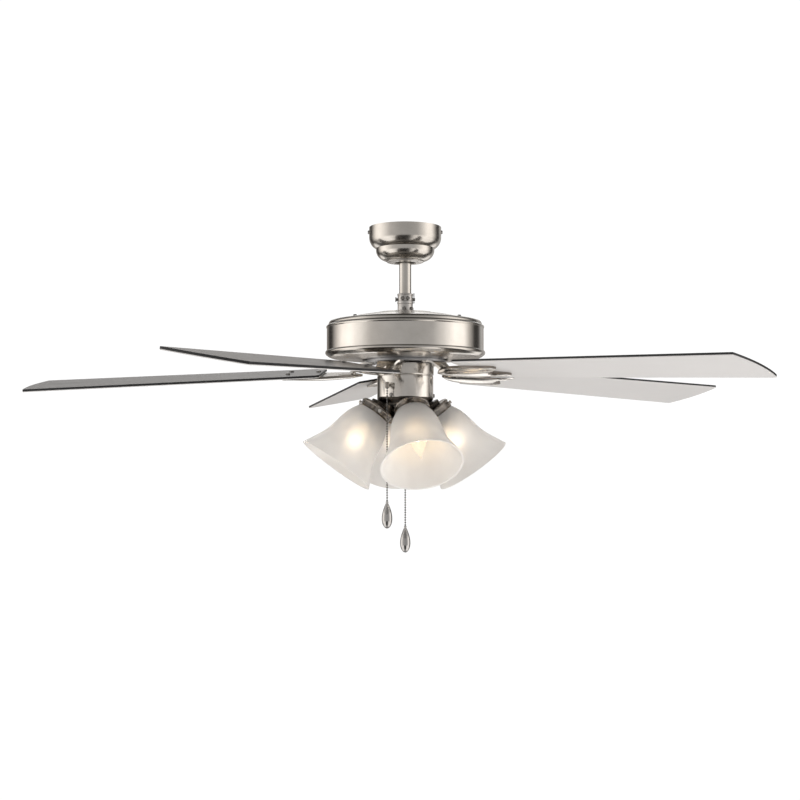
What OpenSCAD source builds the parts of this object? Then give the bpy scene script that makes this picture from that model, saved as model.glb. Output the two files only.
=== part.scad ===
// Five-blade ceiling fan with a four-lamp light kit and two pull chains.
// +Z is up. The origin is on the fan's axis, in the plane of the ceiling, so the fan hangs below it.

/* [Ceiling mount] */
// Outer diameter of the canopy
canopy_d = 126; // [118:1:150]
// Height of the canopy above its trim ring
canopy_h = 59; // [52:1:66]
// Thickness of the canopy's sheet
canopy_t = 1.2; // [0.8:0.1:1.6]
// Distance between the two ceiling slots
slot_spacing = 88.9; // [80:0.1:92]
// Length of a ceiling slot, end to end
slot_l = 12; // [8:0.5:14]
// Width of a ceiling slot
slot_w = 5; // [4:0.1:6]
// Diameter of the hanger ball
ball_d = 48; // [44:1:52]
// Depth of the ball's centre below the ceiling
ball_depth = 34; // [32:0.5:38]

/* [Downrod and coupling] */
// Outer diameter of the downrod
rod_d = 21; // [19:0.5:23]
// Wall of the downrod
rod_t = 2.6; // [2:0.1:3]
// Bare length of downrod between the trim ring and the coupling
rod_gap = 54; // [30:1:400]
// Outer diameter of the coupling's collar
collar_d = 27.6; // [27:0.2:32]
// Height of the coupling's collar above the motor cover
collar_h = 33; // [30:1:45]
// Diameter of the cross pins
pin_d = 5; // [4:0.1:5]

/* [Motor housing] */
// Outer diameter of the housing's band
housing_d = 273.2; // [262:0.2:320]
// Height of the band
band_h = 37.3; // [36:0.1:60]
// Rise of the top cover's cone above its rim
dome_h = 15.5; // [12:0.5:25]
// Height of the rounded shoulder between the rim and the band
shoulder_h = 14; // [13:0.5:20]
// Height of the bottom cover, from the band to its opening
base_h = 16.6; // [15:0.1:24]
// Thickness of the housing's sheet
housing_t = 1.5; // [1:0.1:2]
// Diameter of the opening in the bottom cover
opening_d = 150; // [148:1:160]

/* [Motor] */
// Outer diameter of the hollow motor shaft
shaft_d = 16; // [15:0.5:16]
// Outer diameter of the stator core
stator_d = 114; // [100:1:118]
// Height of the stator core
stator_h = 22.5; // [18:0.5:24]
// Outer diameter of the flywheel that carries the blade irons
flywheel_d = 140; // [136:1:146]

/* [Blades] */
// Radius at the crown of a blade's tip
tip_r = 671; // [500:1:760]
// Radius at a blade's root
root_r = 144.5; // [140:0.5:148]
// Width of a blade at its root
root_w = 110.9; // [90:0.1:130]
// Width of a blade at its tip
tip_w = 137.8; // [100:0.1:160]
// Rise of the curved tip above its corners
tip_crown = 8; // [2:0.5:14]
// Thickness of a blade
blade_t = 5; // [4:0.5:8]
// Tilt of a blade across its width, in degrees
pitch = 10.3; // [6:0.1:14]
// Fall of a blade towards its tip, in degrees
droop = 2.2; // [0:0.1:4]
// Drop from the flywheel's face to the middle of a blade at the iron's neck
blade_drop = 16.5; // [15:0.5:20]

/* [Switch housing] */
// Outer diameter of the switch housing
switch_d = 97.6; // [94:0.2:100]
// Height of the switch housing
switch_h = 38; // [36:1:50]
// Thickness of the switch housing's wall
switch_t = 1.2; // [0.8:0.1:1.4]
// Height of the cup between the flywheel and the switch housing
cup_h = 20.5; // [19:0.5:30]

/* [Light kit] */
// Tilt of a lamp from straight down, in degrees
lamp_tilt = 36.5; // [34:0.5:40]
// Distance from the fan's axis to the middle of a shade's neck
lamp_r = 55.5; // [54:0.5:62]
// Drop from the fitter's rim to the middle of a shade's neck
lamp_drop = 27; // [26:0.5:32]
// Turn of the first lamp about the fan's axis, in degrees
lamp_turn = 13; // [8:1:18]
// Outer diameter of a shade's neck
neck_d = 56; // [54:0.5:58]
// Outer diameter of a shade's mouth
mouth_d = 140; // [120:1:150]
// Length of a shade from its neck to its mouth
shade_l = 112; // [104:1:124]
// Thickness of the shade's glass
glass_t = 3; // [2:0.1:3.5]
// Length of a bulb from the socket's seat to its tip
bulb_l = 96; // [88:1:98]
// Diameter of a bulb at its widest
bulb_d = 35; // [28:0.5:38]

/* [Pull chains] */
// Diameter of the chains' balls
chain_d = 3.2; // [2.4:0.1:3.6]
// Length of the fan's pull chain, without its fob
fan_chain_l = 202; // [120:1:400]
// Length of the light's pull chain, without its fob
light_chain_l = 206; // [180:1:400]
// Length of a fob
fob_l = 46; // [30:1:60]
// Diameter of a fob at its widest
fob_d = 18; // [12:0.5:24]

/* [Hidden] */
LAMPS = [1, 2, 3, 4];
BLADES = [1, 2, 3, 4, 5];

$fn = 96;

// Gaps between pieces
fit = 0.05; // a pin or shaft in its hole
clear = 0.3; // between curved faces that only come near
cut = 1; // how far a cutter runs past a face

// Small fasteners
screw_r = 2;
head_r = 3.6;
head_h = 2.4;

// Ceiling bracket
plate_t = 2;
plate_w = 44;
plate_hole_r = 20;
bracket_r = canopy_d / 2 - canopy_t - 1.8;
tab_w = 20;
tab_t = 1.6;
tab_h = 14;
canopy_screw_z = -8;
ball_z = -ball_depth;
ball_r = ball_d / 2;
socket_gap = 0.1;
socket_r = ball_r + 7;
socket_top = ball_z - 6;
socket_h = 11;
strap_w = 24;
ball_flat = ball_z + ball_r - 4;

// Canopy trim ring
trim_h = 4.1;
trim_hole_r = 18.7;
trim_r = 32.4;
trim_z = -canopy_h + 0.8;
trim_low = trim_z - trim_h;

// Downrod and coupling
rod_r = rod_d / 2;
rod_bore_r = rod_r - rod_t;
rod_top = ball_flat + 2;
collar_top = trim_low - rod_gap;
collar_r = collar_d / 2;
seat_depth = 22;
rod_low = collar_top - seat_depth;
coupling_pin_z = collar_top - 10;
coupling_pin_l = collar_d + 7;
pin_r = pin_d / 2;
pin_head_r = 4.2;
pin_head_h = 2;
hairpin_r = 0.8;
hairpin_loop_r = 4;
hairpin_l = 14;

// Levels of the motor housing, from the top down
dome_z = collar_top - collar_h;
rim_z = dome_z - dome_h;
band_z = rim_z - shoulder_h;
band_low = band_z - band_h;
base_z = band_low - base_h;
flywheel_z = base_z - 4.1;
band_r = housing_d / 2;
opening_r = opening_d / 2;
cap_r = 47;
flange_r = 38;
flange_h = 4.5;
cap_screw_r = 22;
bolt_circle_r = band_r - 12.6;
bolt_turn = 47;
bolt_r = 1.9;
boss_r = 4;
boss_h = 7;

// Motor inside the housing
shaft_r = shaft_d / 2;
shaft_bore_r = shaft_r - 1.8;
stator_r = stator_d / 2;
motor_mid = (band_z + band_low) / 2;
stator_z = motor_mid - stator_h / 2;
air_gap = 0.6;
rotor_ring_r = stator_r + air_gap + 10;
rotor_shell_t = 4;
rotor_r = rotor_ring_r + fit + rotor_shell_t;
winding_h = 8;
winding_in = stator_r - 21;
winding_out = stator_r - 3;
bearing_r = 17.5;
bearing_h = 10;
race_in = 11;
race_out = 14.6;
ball_pitch_r = (race_in + race_out) / 2;
bearing_ball_r = (race_out - race_in) / 2 - fit;
bearing_balls_n = 9;
bearing_top_z = stator_z + stator_h + 1;
bearing_low_z = stator_z - 1 - bearing_h;
shell_top_z = stator_z + stator_h + winding_h + 1.5;
shell_low_z = stator_z - winding_h - 1.5;
seat_wall = 4;
flywheel_r = flywheel_d / 2;
flywheel_bore_r = 52;
flywheel_t = 3.5;
slots_n = 18;
vent_r = 7;
vents_n = 6;

// Switch cup and switch housing
nut_r = 13;
nut_h = 5;
cup_r = switch_d / 2 + 0.7;
cup_top = flywheel_z - 2;
cup_low = cup_top - cup_h;
cup_t = 1.5;
skirt_h = 11;
seam = 1.5;
switch_r = switch_d / 2;
switch_in = switch_r - switch_t;
switch_top = cup_low - seam;
switch_low = switch_top - switch_h;
shaft_low = cup_top - cup_t - 12;
speed_turn = 240;
speed_z = switch_top - 18.3;
bushing_r = 3.5;
bushing_nut_r = 5.6;
guide_r = 3.4;
guide_hole_r = chain_d / 2 + 0.6;
guide_out = switch_r + 13.2;
guide_h = 11;
reverse_turn = 60;
reverse_z = switch_top - 16;
slider_w = 4;
slider_h = 5;
slider_travel = 6;
slot_end_gap = 0.5;
housing_screw_z = switch_low + 4;
housing_screws_n = 3;

// Light kit
fitter_t = 1.5;
fitter_rim_h = 2;
fitter_low = switch_low - 12.5;
lamps_n = len(LAMPS);
lamp_z = switch_low - lamp_drop;
neck_r = neck_d / 2;
mouth_r = mouth_d / 2;
holder_t = 1.2;
holder_back = -13;
holder_front = 2;
holder_r = neck_r + 2.4;
neck_back = -10.5;
arm_r = 9;
arm_back = -34;
socket_cap_back = -21;
rib_pitch = (holder_back - socket_cap_back) / 3;
socket_cap_r = 16;
sleeve_r = 16.5;
sleeve_front = 24;
bulb_seat = 2;
base_r = 13;
base_l = 20;
bulb_r = bulb_d / 2;
thumb_z = -4;
cap_low = fitter_low - 17;

// Pull chains and fobs
chain_r = chain_d / 2;
chain_sides = 8;
fan_chain_top = speed_z + guide_h / 2 - 1;
light_chain_top = fitter_low - 3;
fan_chain_low = fan_chain_top - fan_chain_l;
light_chain_low = light_chain_top - light_chain_l;
fan_chain_x = guide_out * cos(speed_turn);
fan_chain_y = guide_out * sin(speed_turn);
// Height of one length of the chains' tubes
chain_ring_gap = 2.5 * chain_d;

// Blades and irons
blades_n = len(BLADES);
blade_turn = -41.5;
neck_x = 120; // radius at which a blade's frame is set
blade_z = flywheel_z - blade_drop;
blade_half = blade_t / 2;
hole_r = 2.6;
blade_screw_at = [[32, 0], [83, -20], [83, 20]];
boss_iron_r = 6;
foot_t = 3;
foot_in = 54;
foot_half = 22;
iron_screw_r = 63;
iron_screw_t = 15;
leaf_end = 95;
leaf_half = 33;
leaf_wall = 2.6;
leaf_deep = 12.6;
leaf_fork = 64;

// ---------------------------------------------------------------- helpers

function flip(v) = [for (i = [len(v) - 1 : -1 : 0]) v[i]];
function unit(v) = v / norm(v);
function side_of(p, i) =
    let (a = p[max(i - 1, 0)], b = p[min(i + 1, len(p) - 1)], d = unit(b - a)) [-d[1], d[0]];
// The points of a line moved sideways by t, to its left as it runs
function beside(p, t) = [for (i = [0 : len(p) - 1]) p[i] + t * side_of(p, i)];
// Points on an ellipse's arc about c with half-axes a and b
function oval(c, a, b, from, to, n) =
    [for (i = [0 : n]) let (w = from + (to - from) * i / n) c + [a * cos(w), b * sin(w)]];
function mirrored(p) = concat(p, [for (q = flip(p)) if (q[1] != 0) [q[0], -q[1]]]);

// A sheet of thickness t turned about Z, whose outer face follows the line p of [radius, height] points.
// A positive t lies to the left of the line.
module turned_sheet(p, t) {
    rotate_extrude() polygon(concat(p, flip(beside(p, t))));
}

module tube(h, outer, inner) {
    difference() {
        cylinder(h = h, r = outer);
        translate([0, 0, -cut]) cylinder(h = h + 2 * cut, r = inner);
    }
}

module around(n, first = 0) {
    for (i = [0 : n - 1]) rotate([0, 0, first + i * 360 / n]) children();
}

// A round bar from a to b
module bar(a, b, r) {
    d = b - a;
    translate(a)
        rotate([0, acos(d[2] / norm(d)), atan2(d[1], d[0])])
            cylinder(h = norm(d), r = r, $fn = 32);
}

// A pan-head screw along -Z: its head stands on z = 0, and its shank of length l points down
module screw(l, r = screw_r, head = head_r) {
    cylinder(h = head_h, r1 = head, r2 = head * 0.72, $fn = 48);
    translate([0, 0, -l]) cylinder(h = l, r = r, $fn = 48);
}

// The same screw seated on the outside of a wall of radius at, pointing to the axis
module wall_screw(at, l) {
    translate([at, 0, 0]) rotate([0, 90, 0]) screw(l);
}

module at_lamp(i) {
    rotate([0, 0, lamp_turn + (i - 1) * 360 / lamps_n])
        translate([lamp_r, 0, lamp_z])
            rotate([0, 180 - lamp_tilt, 0])
                children();
}

module at_blade(i) {
    rotate([0, 0, blade_turn + (i - 1) * 360 / blades_n])
        translate([neck_x, 0, blade_z])
            rotate([0, droop, 0])
                rotate([-pitch, 0, 0])
                    children();
}

// ---------------------------------------------------------------- ceiling mount

module slot_cutter() {
    reach = (slot_l - slot_w) / 2;
    for (s = [-1, 1]) {
        translate([s * slot_spacing / 2, 0, -plate_t - cut]) {
            translate([-reach, -slot_w / 2, 0]) cube([2 * reach, slot_w, plate_t + 2 * cut]);
            for (e = [-1, 1]) translate([e * reach, 0, 0]) cylinder(h = plate_t + 2 * cut, r = slot_w / 2);
        }
    }
}

module hanger_bracket() {
    color("gainsboro") {
        difference() {
            union() {
                intersection() {
                    translate([-bracket_r, -plate_w / 2, -plate_t]) cube([2 * bracket_r, plate_w, plate_t]);
                    translate([0, 0, -plate_t]) cylinder(h = plate_t, r = bracket_r);
                }
                for (s = [0, 180]) rotate([0, 0, s]) {
                    translate([bracket_r - tab_t - 1.5, -tab_w / 2, -tab_h])
                        cube([tab_t, tab_w, tab_h - 1]);
                    translate([socket_r - 3, -strap_w / 2, socket_top - 2])
                        cube([2.5, strap_w, -socket_top + 1]);
                }
                translate([0, 0, socket_top - socket_h]) cylinder(h = socket_h, r = socket_r);
            }
            slot_cutter();
            translate([0, 0, -plate_t - cut]) cylinder(h = plate_t + 2 * cut, r = plate_hole_r);
            translate([0, 0, ball_z]) sphere(r = ball_r + socket_gap);
            translate([0, 0, socket_top - socket_h - cut]) cylinder(h = socket_h, r = ball_r * 0.68);
            for (s = [0, 180]) rotate([0, 0, s])
                translate([bracket_r - 8, 0, canopy_screw_z])
                    rotate([0, 90, 0]) cylinder(h = 12, r = screw_r + fit);
        }
    }
}

// Shoulder, step and bowl of the canopy, from the ceiling down
canopy_wall_h = canopy_h - 42;
canopy_line = concat(
    [[canopy_d / 2, 0], [canopy_d / 2, -canopy_wall_h]],
    oval([canopy_d / 2 - 18, -canopy_wall_h - 0.5], 18, -20.5, 12, 63, 6),
    [[canopy_d / 2 - 12, -canopy_wall_h - 20.2]],
    oval([canopy_d / 2 - 34, -canopy_wall_h - 23], 22, -19.3, 0, 80, 8)
);

module canopy() {
    color("silver") difference() {
        turned_sheet(canopy_line, -canopy_t);
        for (s = [0, 180]) rotate([0, 0, s])
            translate([canopy_d / 2 - 5, 0, canopy_screw_z])
                rotate([0, 90, 0]) cylinder(h = 10, r = screw_r + clear);
    }
}

module canopy_screws() {
    color("dimgray") for (s = [0, 180]) rotate([0, 0, s])
        translate([0, 0, canopy_screw_z]) wall_screw(canopy_d / 2 + 0.1, 8);
}

module canopy_trim() {
    line = [
        [trim_r - 1.2, trim_z], [trim_r - 0.4, trim_z - 1], [trim_r, trim_z - 1.7],
        [trim_r, trim_z - 2.4], [trim_r - 1, trim_z - 3.1], [trim_r - 5.4, trim_z - 3.7],
        [trim_hole_r, trim_low]
    ];
    color("gainsboro") turned_sheet(line, -canopy_t);
}

module hanger_ball() {
    color("dimgray") difference() {
        translate([0, 0, ball_z]) sphere(r = ball_r);
        translate([-ball_r, -ball_r, ball_flat]) cube([ball_d, ball_d, ball_r]);
        translate([0, 0, ball_z - ball_r - cut]) cylinder(h = ball_d + 2 * cut, r = rod_r + fit);
        translate([-ball_r, 0, ball_z]) rotate([0, 90, 0]) cylinder(h = ball_d, r = pin_r + fit);
    }
}

module downrod() {
    color("silver") difference() {
        translate([0, 0, rod_low]) tube(rod_top - rod_low, rod_r, rod_bore_r);
        for (z = [ball_z, coupling_pin_z])
            translate([-rod_r - cut, 0, z]) rotate([0, 90, 0])
                cylinder(h = rod_d + 2 * cut, r = pin_r + fit);
    }
}

// The pin in the ball, and the pin in the coupling with its head and hairpin
module cross_pins() {
    ball_pin_l = 2 * sqrt(ball_r * ball_r - pin_r * pin_r) - 2;
    color("lightgray") {
        translate([-ball_pin_l / 2, 0, ball_z]) rotate([0, 90, 0]) cylinder(h = ball_pin_l, r = pin_r);
        difference() {
            translate([-coupling_pin_l / 2, 0, coupling_pin_z]) rotate([0, 90, 0]) {
                cylinder(h = coupling_pin_l, r = pin_r);
                cylinder(h = pin_head_h, r = pin_head_r);
            }
            translate([coupling_pin_l / 2 - 2, 0, coupling_pin_z - 8])
                cylinder(h = 16, r = hairpin_r + fit);
        }
        translate([coupling_pin_l / 2 - 2, 0, coupling_pin_z - hairpin_l / 2])
            cylinder(h = hairpin_l, r = hairpin_r, $fn = 32);
        translate([coupling_pin_l / 2 - 2, hairpin_loop_r, coupling_pin_z + hairpin_l / 2])
            rotate([0, 90, 0]) rotate_extrude()
                translate([hairpin_loop_r, 0]) circle(r = hairpin_r, $fn = 32);
    }
}

// Three insulated wires down the rod and the shaft, turned out to wire nuts beside the ball
lead_r = 1.2;
lead_turns = [115, 65, 270];
lead_in = 4.4;
lead_z = ball_flat + 4;
lead_low = shaft_low - 4;
nut_ring_r = 40;

module supply_leads() {
    for (i = [0 : 2]) rotate([0, 0, lead_turns[i]]) {
        color(["black", "white", "seagreen"][i]) union() {
            translate([lead_in, 0, lead_low]) cylinder(h = lead_z - lead_low, r = lead_r);
            translate([lead_in - lead_r, 0, lead_z]) rotate([0, 90, 0])
                cylinder(h = nut_ring_r - lead_in + 2 * lead_r, r = lead_r);
            translate([nut_ring_r, 0, lead_z - 5]) cylinder(h = 5, r = lead_r);
        }
        color("orange") translate([nut_ring_r, 0, lead_z - 23]) cylinder(h = 18, r1 = 3.4, r2 = 5.4);
    }
}

// ---------------------------------------------------------------- coupling and motor housing

module coupling() {
    flange_low = dome_z - housing_t - flange_h;
    color("lightgray") difference() {
        union() {
            translate([0, 0, flange_low]) cylinder(h = collar_top - flange_low, r = collar_r);
            translate([0, 0, flange_low]) cylinder(h = flange_h, r = flange_r);
        }
        translate([0, 0, rod_low]) cylinder(h = seat_depth + cut, r = rod_r + fit);
        translate([0, 0, flange_low - cut]) cylinder(h = collar_h + 2 * cut, r = shaft_r + fit);
        translate([-collar_r - cut, 0, coupling_pin_z]) rotate([0, 90, 0])
            cylinder(h = collar_d + 2 * cut, r = pin_r + fit);
        for (a = [250, 290]) rotate([0, 0, a]) translate([rod_r, 0, coupling_pin_z + 1]) rotate([0, 90, 0])
            cylinder(h = collar_r, r = screw_r + fit);
        for (a = [262, 322]) rotate([0, 0, a]) translate([shaft_r, 0, dome_z + 6]) rotate([0, 90, 0])
            cylinder(h = collar_r, r = screw_r + fit);
        around(4, 45) translate([cap_screw_r, 0, flange_low - cut])
            cylinder(h = flange_h + 2 * cut, r = screw_r + fit);
    }
}

module motor_shaft() {
    color("lightgray") translate([0, 0, shaft_low]) tube(rod_low - fit - shaft_low, shaft_r, shaft_bore_r);
}

module shaft_nuts() {
    color("silver") for (z = [cup_top + fit, cup_top - cup_t - nut_h - fit])
        translate([0, 0, z]) difference() {
            cylinder(h = nut_h, r = nut_r, $fn = 6);
            translate([0, 0, -cut]) cylinder(h = nut_h + 2 * cut, r = shaft_r + fit);
        }
}

cover_line = [
    [collar_r + clear, dome_z], [cap_r, dome_z], [cap_r + 3, dome_z - 1.2],
    [bolt_circle_r - 6, rim_z + 0.4], [bolt_circle_r - 5, rim_z], [bolt_circle_r + 5, rim_z],
    [band_r - 5, rim_z - 1.2], [band_r - 3.3, rim_z - 4], [band_r - 3, rim_z - 7.5],
    [band_r + 0.3, rim_z - 8.7], [band_r + 1, rim_z - 10.5], [band_r + 0.8, rim_z - 12],
    [band_r, band_z + 1], [band_r, band_z]
];

module top_cover() {
    color("silver") difference() {
        turned_sheet(cover_line, -housing_t);
        around(4, 45) translate([cap_screw_r, 0, dome_z - 2 * housing_t])
            cylinder(h = 4 * housing_t, r = screw_r + clear);
        around(4, bolt_turn) translate([bolt_circle_r, 0, rim_z - 2 * housing_t])
            cylinder(h = 4 * housing_t, r = bolt_r + clear);
    }
}

module housing_band() {
    color("silver") translate([0, 0, band_low]) tube(band_h, band_r, band_r - housing_t);
}

base_line = [
    [band_r, band_low], [band_r, band_low - 0.8], [band_r + 2.6, band_low - 2.2],
    [band_r + 2.6, band_low - 5.6], [band_r + 0.9, band_low - 7.6], [band_r - 1, band_low - 9],
    [band_r - 4.4, band_low - 11.4], [band_r - 10.6, band_low - 13], [opening_r, base_z]
];

module bottom_cover() {
    boss_z = band_low - 12.6;
    color("silver") {
        difference() {
            union() {
                turned_sheet(base_line, -housing_t);
                around(4, bolt_turn) translate([bolt_circle_r, 0, boss_z]) cylinder(h = boss_h, r = boss_r);
            }
            around(4, bolt_turn) translate([bolt_circle_r, 0, boss_z + 2])
                cylinder(h = boss_h, r = bolt_r + fit);
        }
    }
}

module housing_bolts() {
    l = rim_z - band_low + 10;
    color("dimgray") around(4, bolt_turn) translate([bolt_circle_r, 0, rim_z]) screw(l, bolt_r);
}

// Screws of one size: in the motor cover, in the coupling's collar, and between switch housing and fitter
module machine_screws() {
    color("dimgray") {
        around(4, 45) translate([cap_screw_r, 0, dome_z]) screw(5);
        for (a = [250, 290]) rotate([0, 0, a]) translate([0, 0, coupling_pin_z + 1])
            wall_screw(collar_r + 0.2, collar_r - rod_r - 0.1);
        for (a = [262, 322]) rotate([0, 0, a]) translate([0, 0, dome_z + 6])
            wall_screw(collar_r + 0.2, collar_r - shaft_r - 0.1);
        around(housing_screws_n, 0) translate([0, 0, housing_screw_z]) wall_screw(switch_r + 0.1, 5);
    }
}

// ---------------------------------------------------------------- motor

module stator_core() {
    color("dimgray") translate([0, 0, stator_z]) difference() {
        cylinder(h = stator_h, r = stator_r);
        translate([0, 0, -cut]) cylinder(h = stator_h + 2 * cut, r = shaft_r + fit);
        around(slots_n) translate([stator_r - 16, -2, -cut]) cube([20, 4, stator_h + 2 * cut]);
    }
}

module stator_windings() {
    color("peru") for (z = [stator_z + stator_h, stator_z - winding_h])
        translate([0, 0, z]) tube(winding_h, winding_out, winding_in);
}

module bearing_rings(inner, outer) {
    for (z = [bearing_top_z, bearing_low_z]) translate([0, 0, z]) tube(bearing_h, outer, inner);
}

module bearing_inner_rings() {
    color("silver") bearing_rings(shaft_r + fit, race_in);
}

module bearing_outer_rings() {
    color("silver") bearing_rings(race_out, bearing_r);
}

module bearing_balls() {
    color("white") for (z = [bearing_top_z, bearing_low_z])
        around(bearing_balls_n) translate([ball_pitch_r, 0, z + bearing_h / 2])
            sphere(r = bearing_ball_r, $fn = 32);
}

module rotor_vents(z) {
    around(vents_n) translate([stator_r - 16, 0, z]) cylinder(h = 3 * rotor_shell_t, r = vent_r);
}

module rotor_top_shell() {
    color("gray") translate([0, 0, shell_top_z]) difference() {
        union() {
            cylinder(h = rotor_shell_t, r = rotor_r);
            translate([0, 0, motor_mid - shell_top_z])
                tube(shell_top_z - motor_mid, rotor_r, rotor_ring_r + fit);
            translate([0, 0, bearing_top_z - shell_top_z])
                cylinder(h = shell_top_z - bearing_top_z, r = bearing_r + seat_wall);
        }
        translate([0, 0, bearing_top_z - shell_top_z - cut])
            cylinder(h = bearing_h + cut, r = bearing_r + fit);
        cylinder(h = 3 * rotor_shell_t, r = race_out);
        rotor_vents(-rotor_shell_t);
    }
}

// The lower half of the rotor's casing, whose neck carries the flywheel face
module rotor_bottom_shell() {
    floor_z = shell_low_z - rotor_shell_t;
    color("gray") difference() {
        union() {
            translate([0, 0, floor_z]) cylinder(h = rotor_shell_t, r = rotor_r);
            translate([0, 0, floor_z]) tube(motor_mid - floor_z, rotor_r, rotor_ring_r + fit);
            translate([0, 0, floor_z])
                cylinder(h = bearing_low_z + bearing_h - floor_z, r = bearing_r + seat_wall);
            translate([0, 0, flywheel_z]) tube(floor_z - flywheel_z, flywheel_r - 4, flywheel_bore_r + 4);
            translate([0, 0, flywheel_z]) tube(flywheel_t, flywheel_r, flywheel_bore_r);
        }
        translate([0, 0, bearing_low_z]) cylinder(h = bearing_h + cut, r = bearing_r + fit);
        translate([0, 0, floor_z - cut]) cylinder(h = 6 * rotor_shell_t, r = race_out);
        translate([0, 0, floor_z]) rotor_vents(-cut);
        for (i = BLADES) at_iron_screws(i) translate([0, 0, -cut]) cylinder(h = 8, r = screw_r + fit);
    }
}

module rotor_ring() {
    color("dimgray") translate([0, 0, stator_z])
        tube(stator_h, rotor_ring_r, stator_r + air_gap);
}

// ---------------------------------------------------------------- blades and irons

module at_iron_screws(i) {
    rotate([0, 0, blade_turn + (i - 1) * 360 / blades_n])
        for (s = [-1, 1]) translate([iron_screw_r, s * iron_screw_t, flywheel_z]) children();
}

// Plan of the cast leaf under a blade: a pointed inner end, full sides and two prongs
leaf_plan = mirrored([
    [-45, 0], [-38, 8], [-27, 17], [-12, 26], [6, 31.5], [28, leaf_half], [50, 32],
    [68, 30], [82, 30], [leaf_end - 3, 28], [leaf_end, 22], [leaf_end - 3, 15],
    [82, 12.5], [72, 8], [leaf_fork, 0]
]);
// Lengthwise profile of the leaf's underside
leaf_side = [
    [-46, -9], [-24, -12], [11, -leaf_deep], [30, -leaf_deep], [55, -11.5],
    [80, -9], [leaf_end + 1, -7.5]
];
leaf_pocket = [[2, -9], [30, -leaf_deep + leaf_wall], [54, -9]];

module leaf_solid() {
    low = leaf_deep + 4;
    intersection() {
        translate([0, 0, -low]) linear_extrude(height = low - blade_half) polygon(leaf_plan);
        translate([0, leaf_half + 2, 0]) rotate([90, 0, 0]) linear_extrude(height = 2 * leaf_half + 4)
            polygon(concat([[leaf_end + 1, 0], [0, 0], [-46, -5]], leaf_side));
        translate([-50, 0, 0]) rotate([90, 0, 90]) linear_extrude(height = leaf_end + 60)
            polygon(concat([[leaf_half + 2, 0]], [[-leaf_half - 2, 0]],
                oval([0, -blade_half - 2], leaf_half + 2, leaf_deep - 2, 180, 360, 14)));
    }
}

module leaf_hollow() {
    intersection() {
        translate([0, 0, -leaf_deep]) linear_extrude(height = leaf_deep)
            polygon([[2, -22], [8, -27], [54, -27], [54, 27], [8, 27], [2, 22]]);
        translate([0, leaf_half, 0]) rotate([90, 0, 0]) linear_extrude(height = 2 * leaf_half)
            polygon(concat([[54, 0], [2, 0]], leaf_pocket));
        rotate([90, 0, 90]) linear_extrude(height = leaf_end)
            polygon(concat([[leaf_half, 0]], [[-leaf_half, 0]],
                oval([0, -blade_half - 1], leaf_half - 3, leaf_deep - 5, 180, 360, 14)));
    }
}

// The strap that climbs from the leaf to its foot under the flywheel
module iron_strap() {
    top = flywheel_z;
    leaf_z = blade_z - 2.4;
    difference() {
        intersection() {
            translate([0, 0, leaf_z - 12]) linear_extrude(height = top - leaf_z + 12) difference() {
                polygon([
                    [foot_in, -foot_half], [72, -foot_half], [84, -16], [117, -13],
                    [117, 13], [84, 16], [72, foot_half], [foot_in, foot_half]
                ]);
                polygon([[80, 0], [103, -7], [103, 7]]);
            }
            translate([0, 30, 0]) rotate([90, 0, 0]) linear_extrude(height = 60) polygon([
                [foot_in, top - foot_t], [foot_in, top], [71, top], [76, top - 1.4],
                [99, leaf_z], [117, leaf_z - 1], [117, leaf_z - 8], [97, leaf_z - 6.5], [73, top - 5],
                [69.5, top - foot_t]
            ]);
        }
        for (s = [-1, 1]) translate([iron_screw_r, s * iron_screw_t, top - foot_t - cut])
            cylinder(h = foot_t + 2 * cut, r = screw_r + clear);
    }
}

module blade_iron(i) {
    color("silver") {
        rotate([0, 0, blade_turn + (i - 1) * 360 / blades_n]) iron_strap();
        at_blade(i) difference() {
            union() {
                difference() {
                    leaf_solid();
                    leaf_hollow();
                }
                intersection() {
                    leaf_solid();
                    for (p = blade_screw_at) translate([p[0], p[1], -leaf_deep])
                        cylinder(h = leaf_deep - blade_half, r = boss_iron_r);
                }
            }
            for (p = blade_screw_at) translate([p[0], p[1], -6]) cylinder(h = 6, r = screw_r + fit);
        }
    }
}

module iron_screws() {
    color("dimgray") for (i = BLADES) at_iron_screws(i)
        translate([0, 0, -foot_t]) mirror([0, 0, 1]) screw(foot_t + 4);
}

corner_r = 7;
tip_corner = 1.5;

// Corner points of a rounded corner at p between directions a and b, in degrees
function rounded(p, r, a, b) =
    [for (k = [0 : 4]) let (turn = a + (b - a) * k / 4) p + r * [cos(turn), sin(turn)]];

module blade_outline() {
    x0 = root_r - neck_x;
    x1 = tip_r - tip_crown - neck_x;
    bow_r = (tip_w * tip_w / 4 + tip_crown * tip_crown) / (2 * tip_crown);
    bow = asin((tip_w / 2 - 2 * tip_corner) / bow_r);
    half = concat(
        rounded([x0 + corner_r, root_w / 2 - corner_r], corner_r, 180, 90),
        rounded([x1 - tip_corner, tip_w / 2 - tip_corner], tip_corner, 90, 25),
        oval([x1 + tip_crown - bow_r, 0], bow_r, bow_r, bow, 0, 6)
    );
    polygon(mirrored(half));
}

module blade(i) {
    color("dimgray") at_blade(i) difference() {
        translate([0, 0, -blade_half]) linear_extrude(height = blade_t) blade_outline();
        for (p = blade_screw_at) translate([p[0], p[1], -blade_t]) cylinder(h = 2 * blade_t, r = hole_r);
    }
}

module blade_screws() {
    color("dimgray") for (i = BLADES) at_blade(i)
        for (p = blade_screw_at) translate([p[0], p[1], blade_half]) screw(blade_t + 3, screw_r, 4.6);
}

// ---------------------------------------------------------------- switch housing

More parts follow.
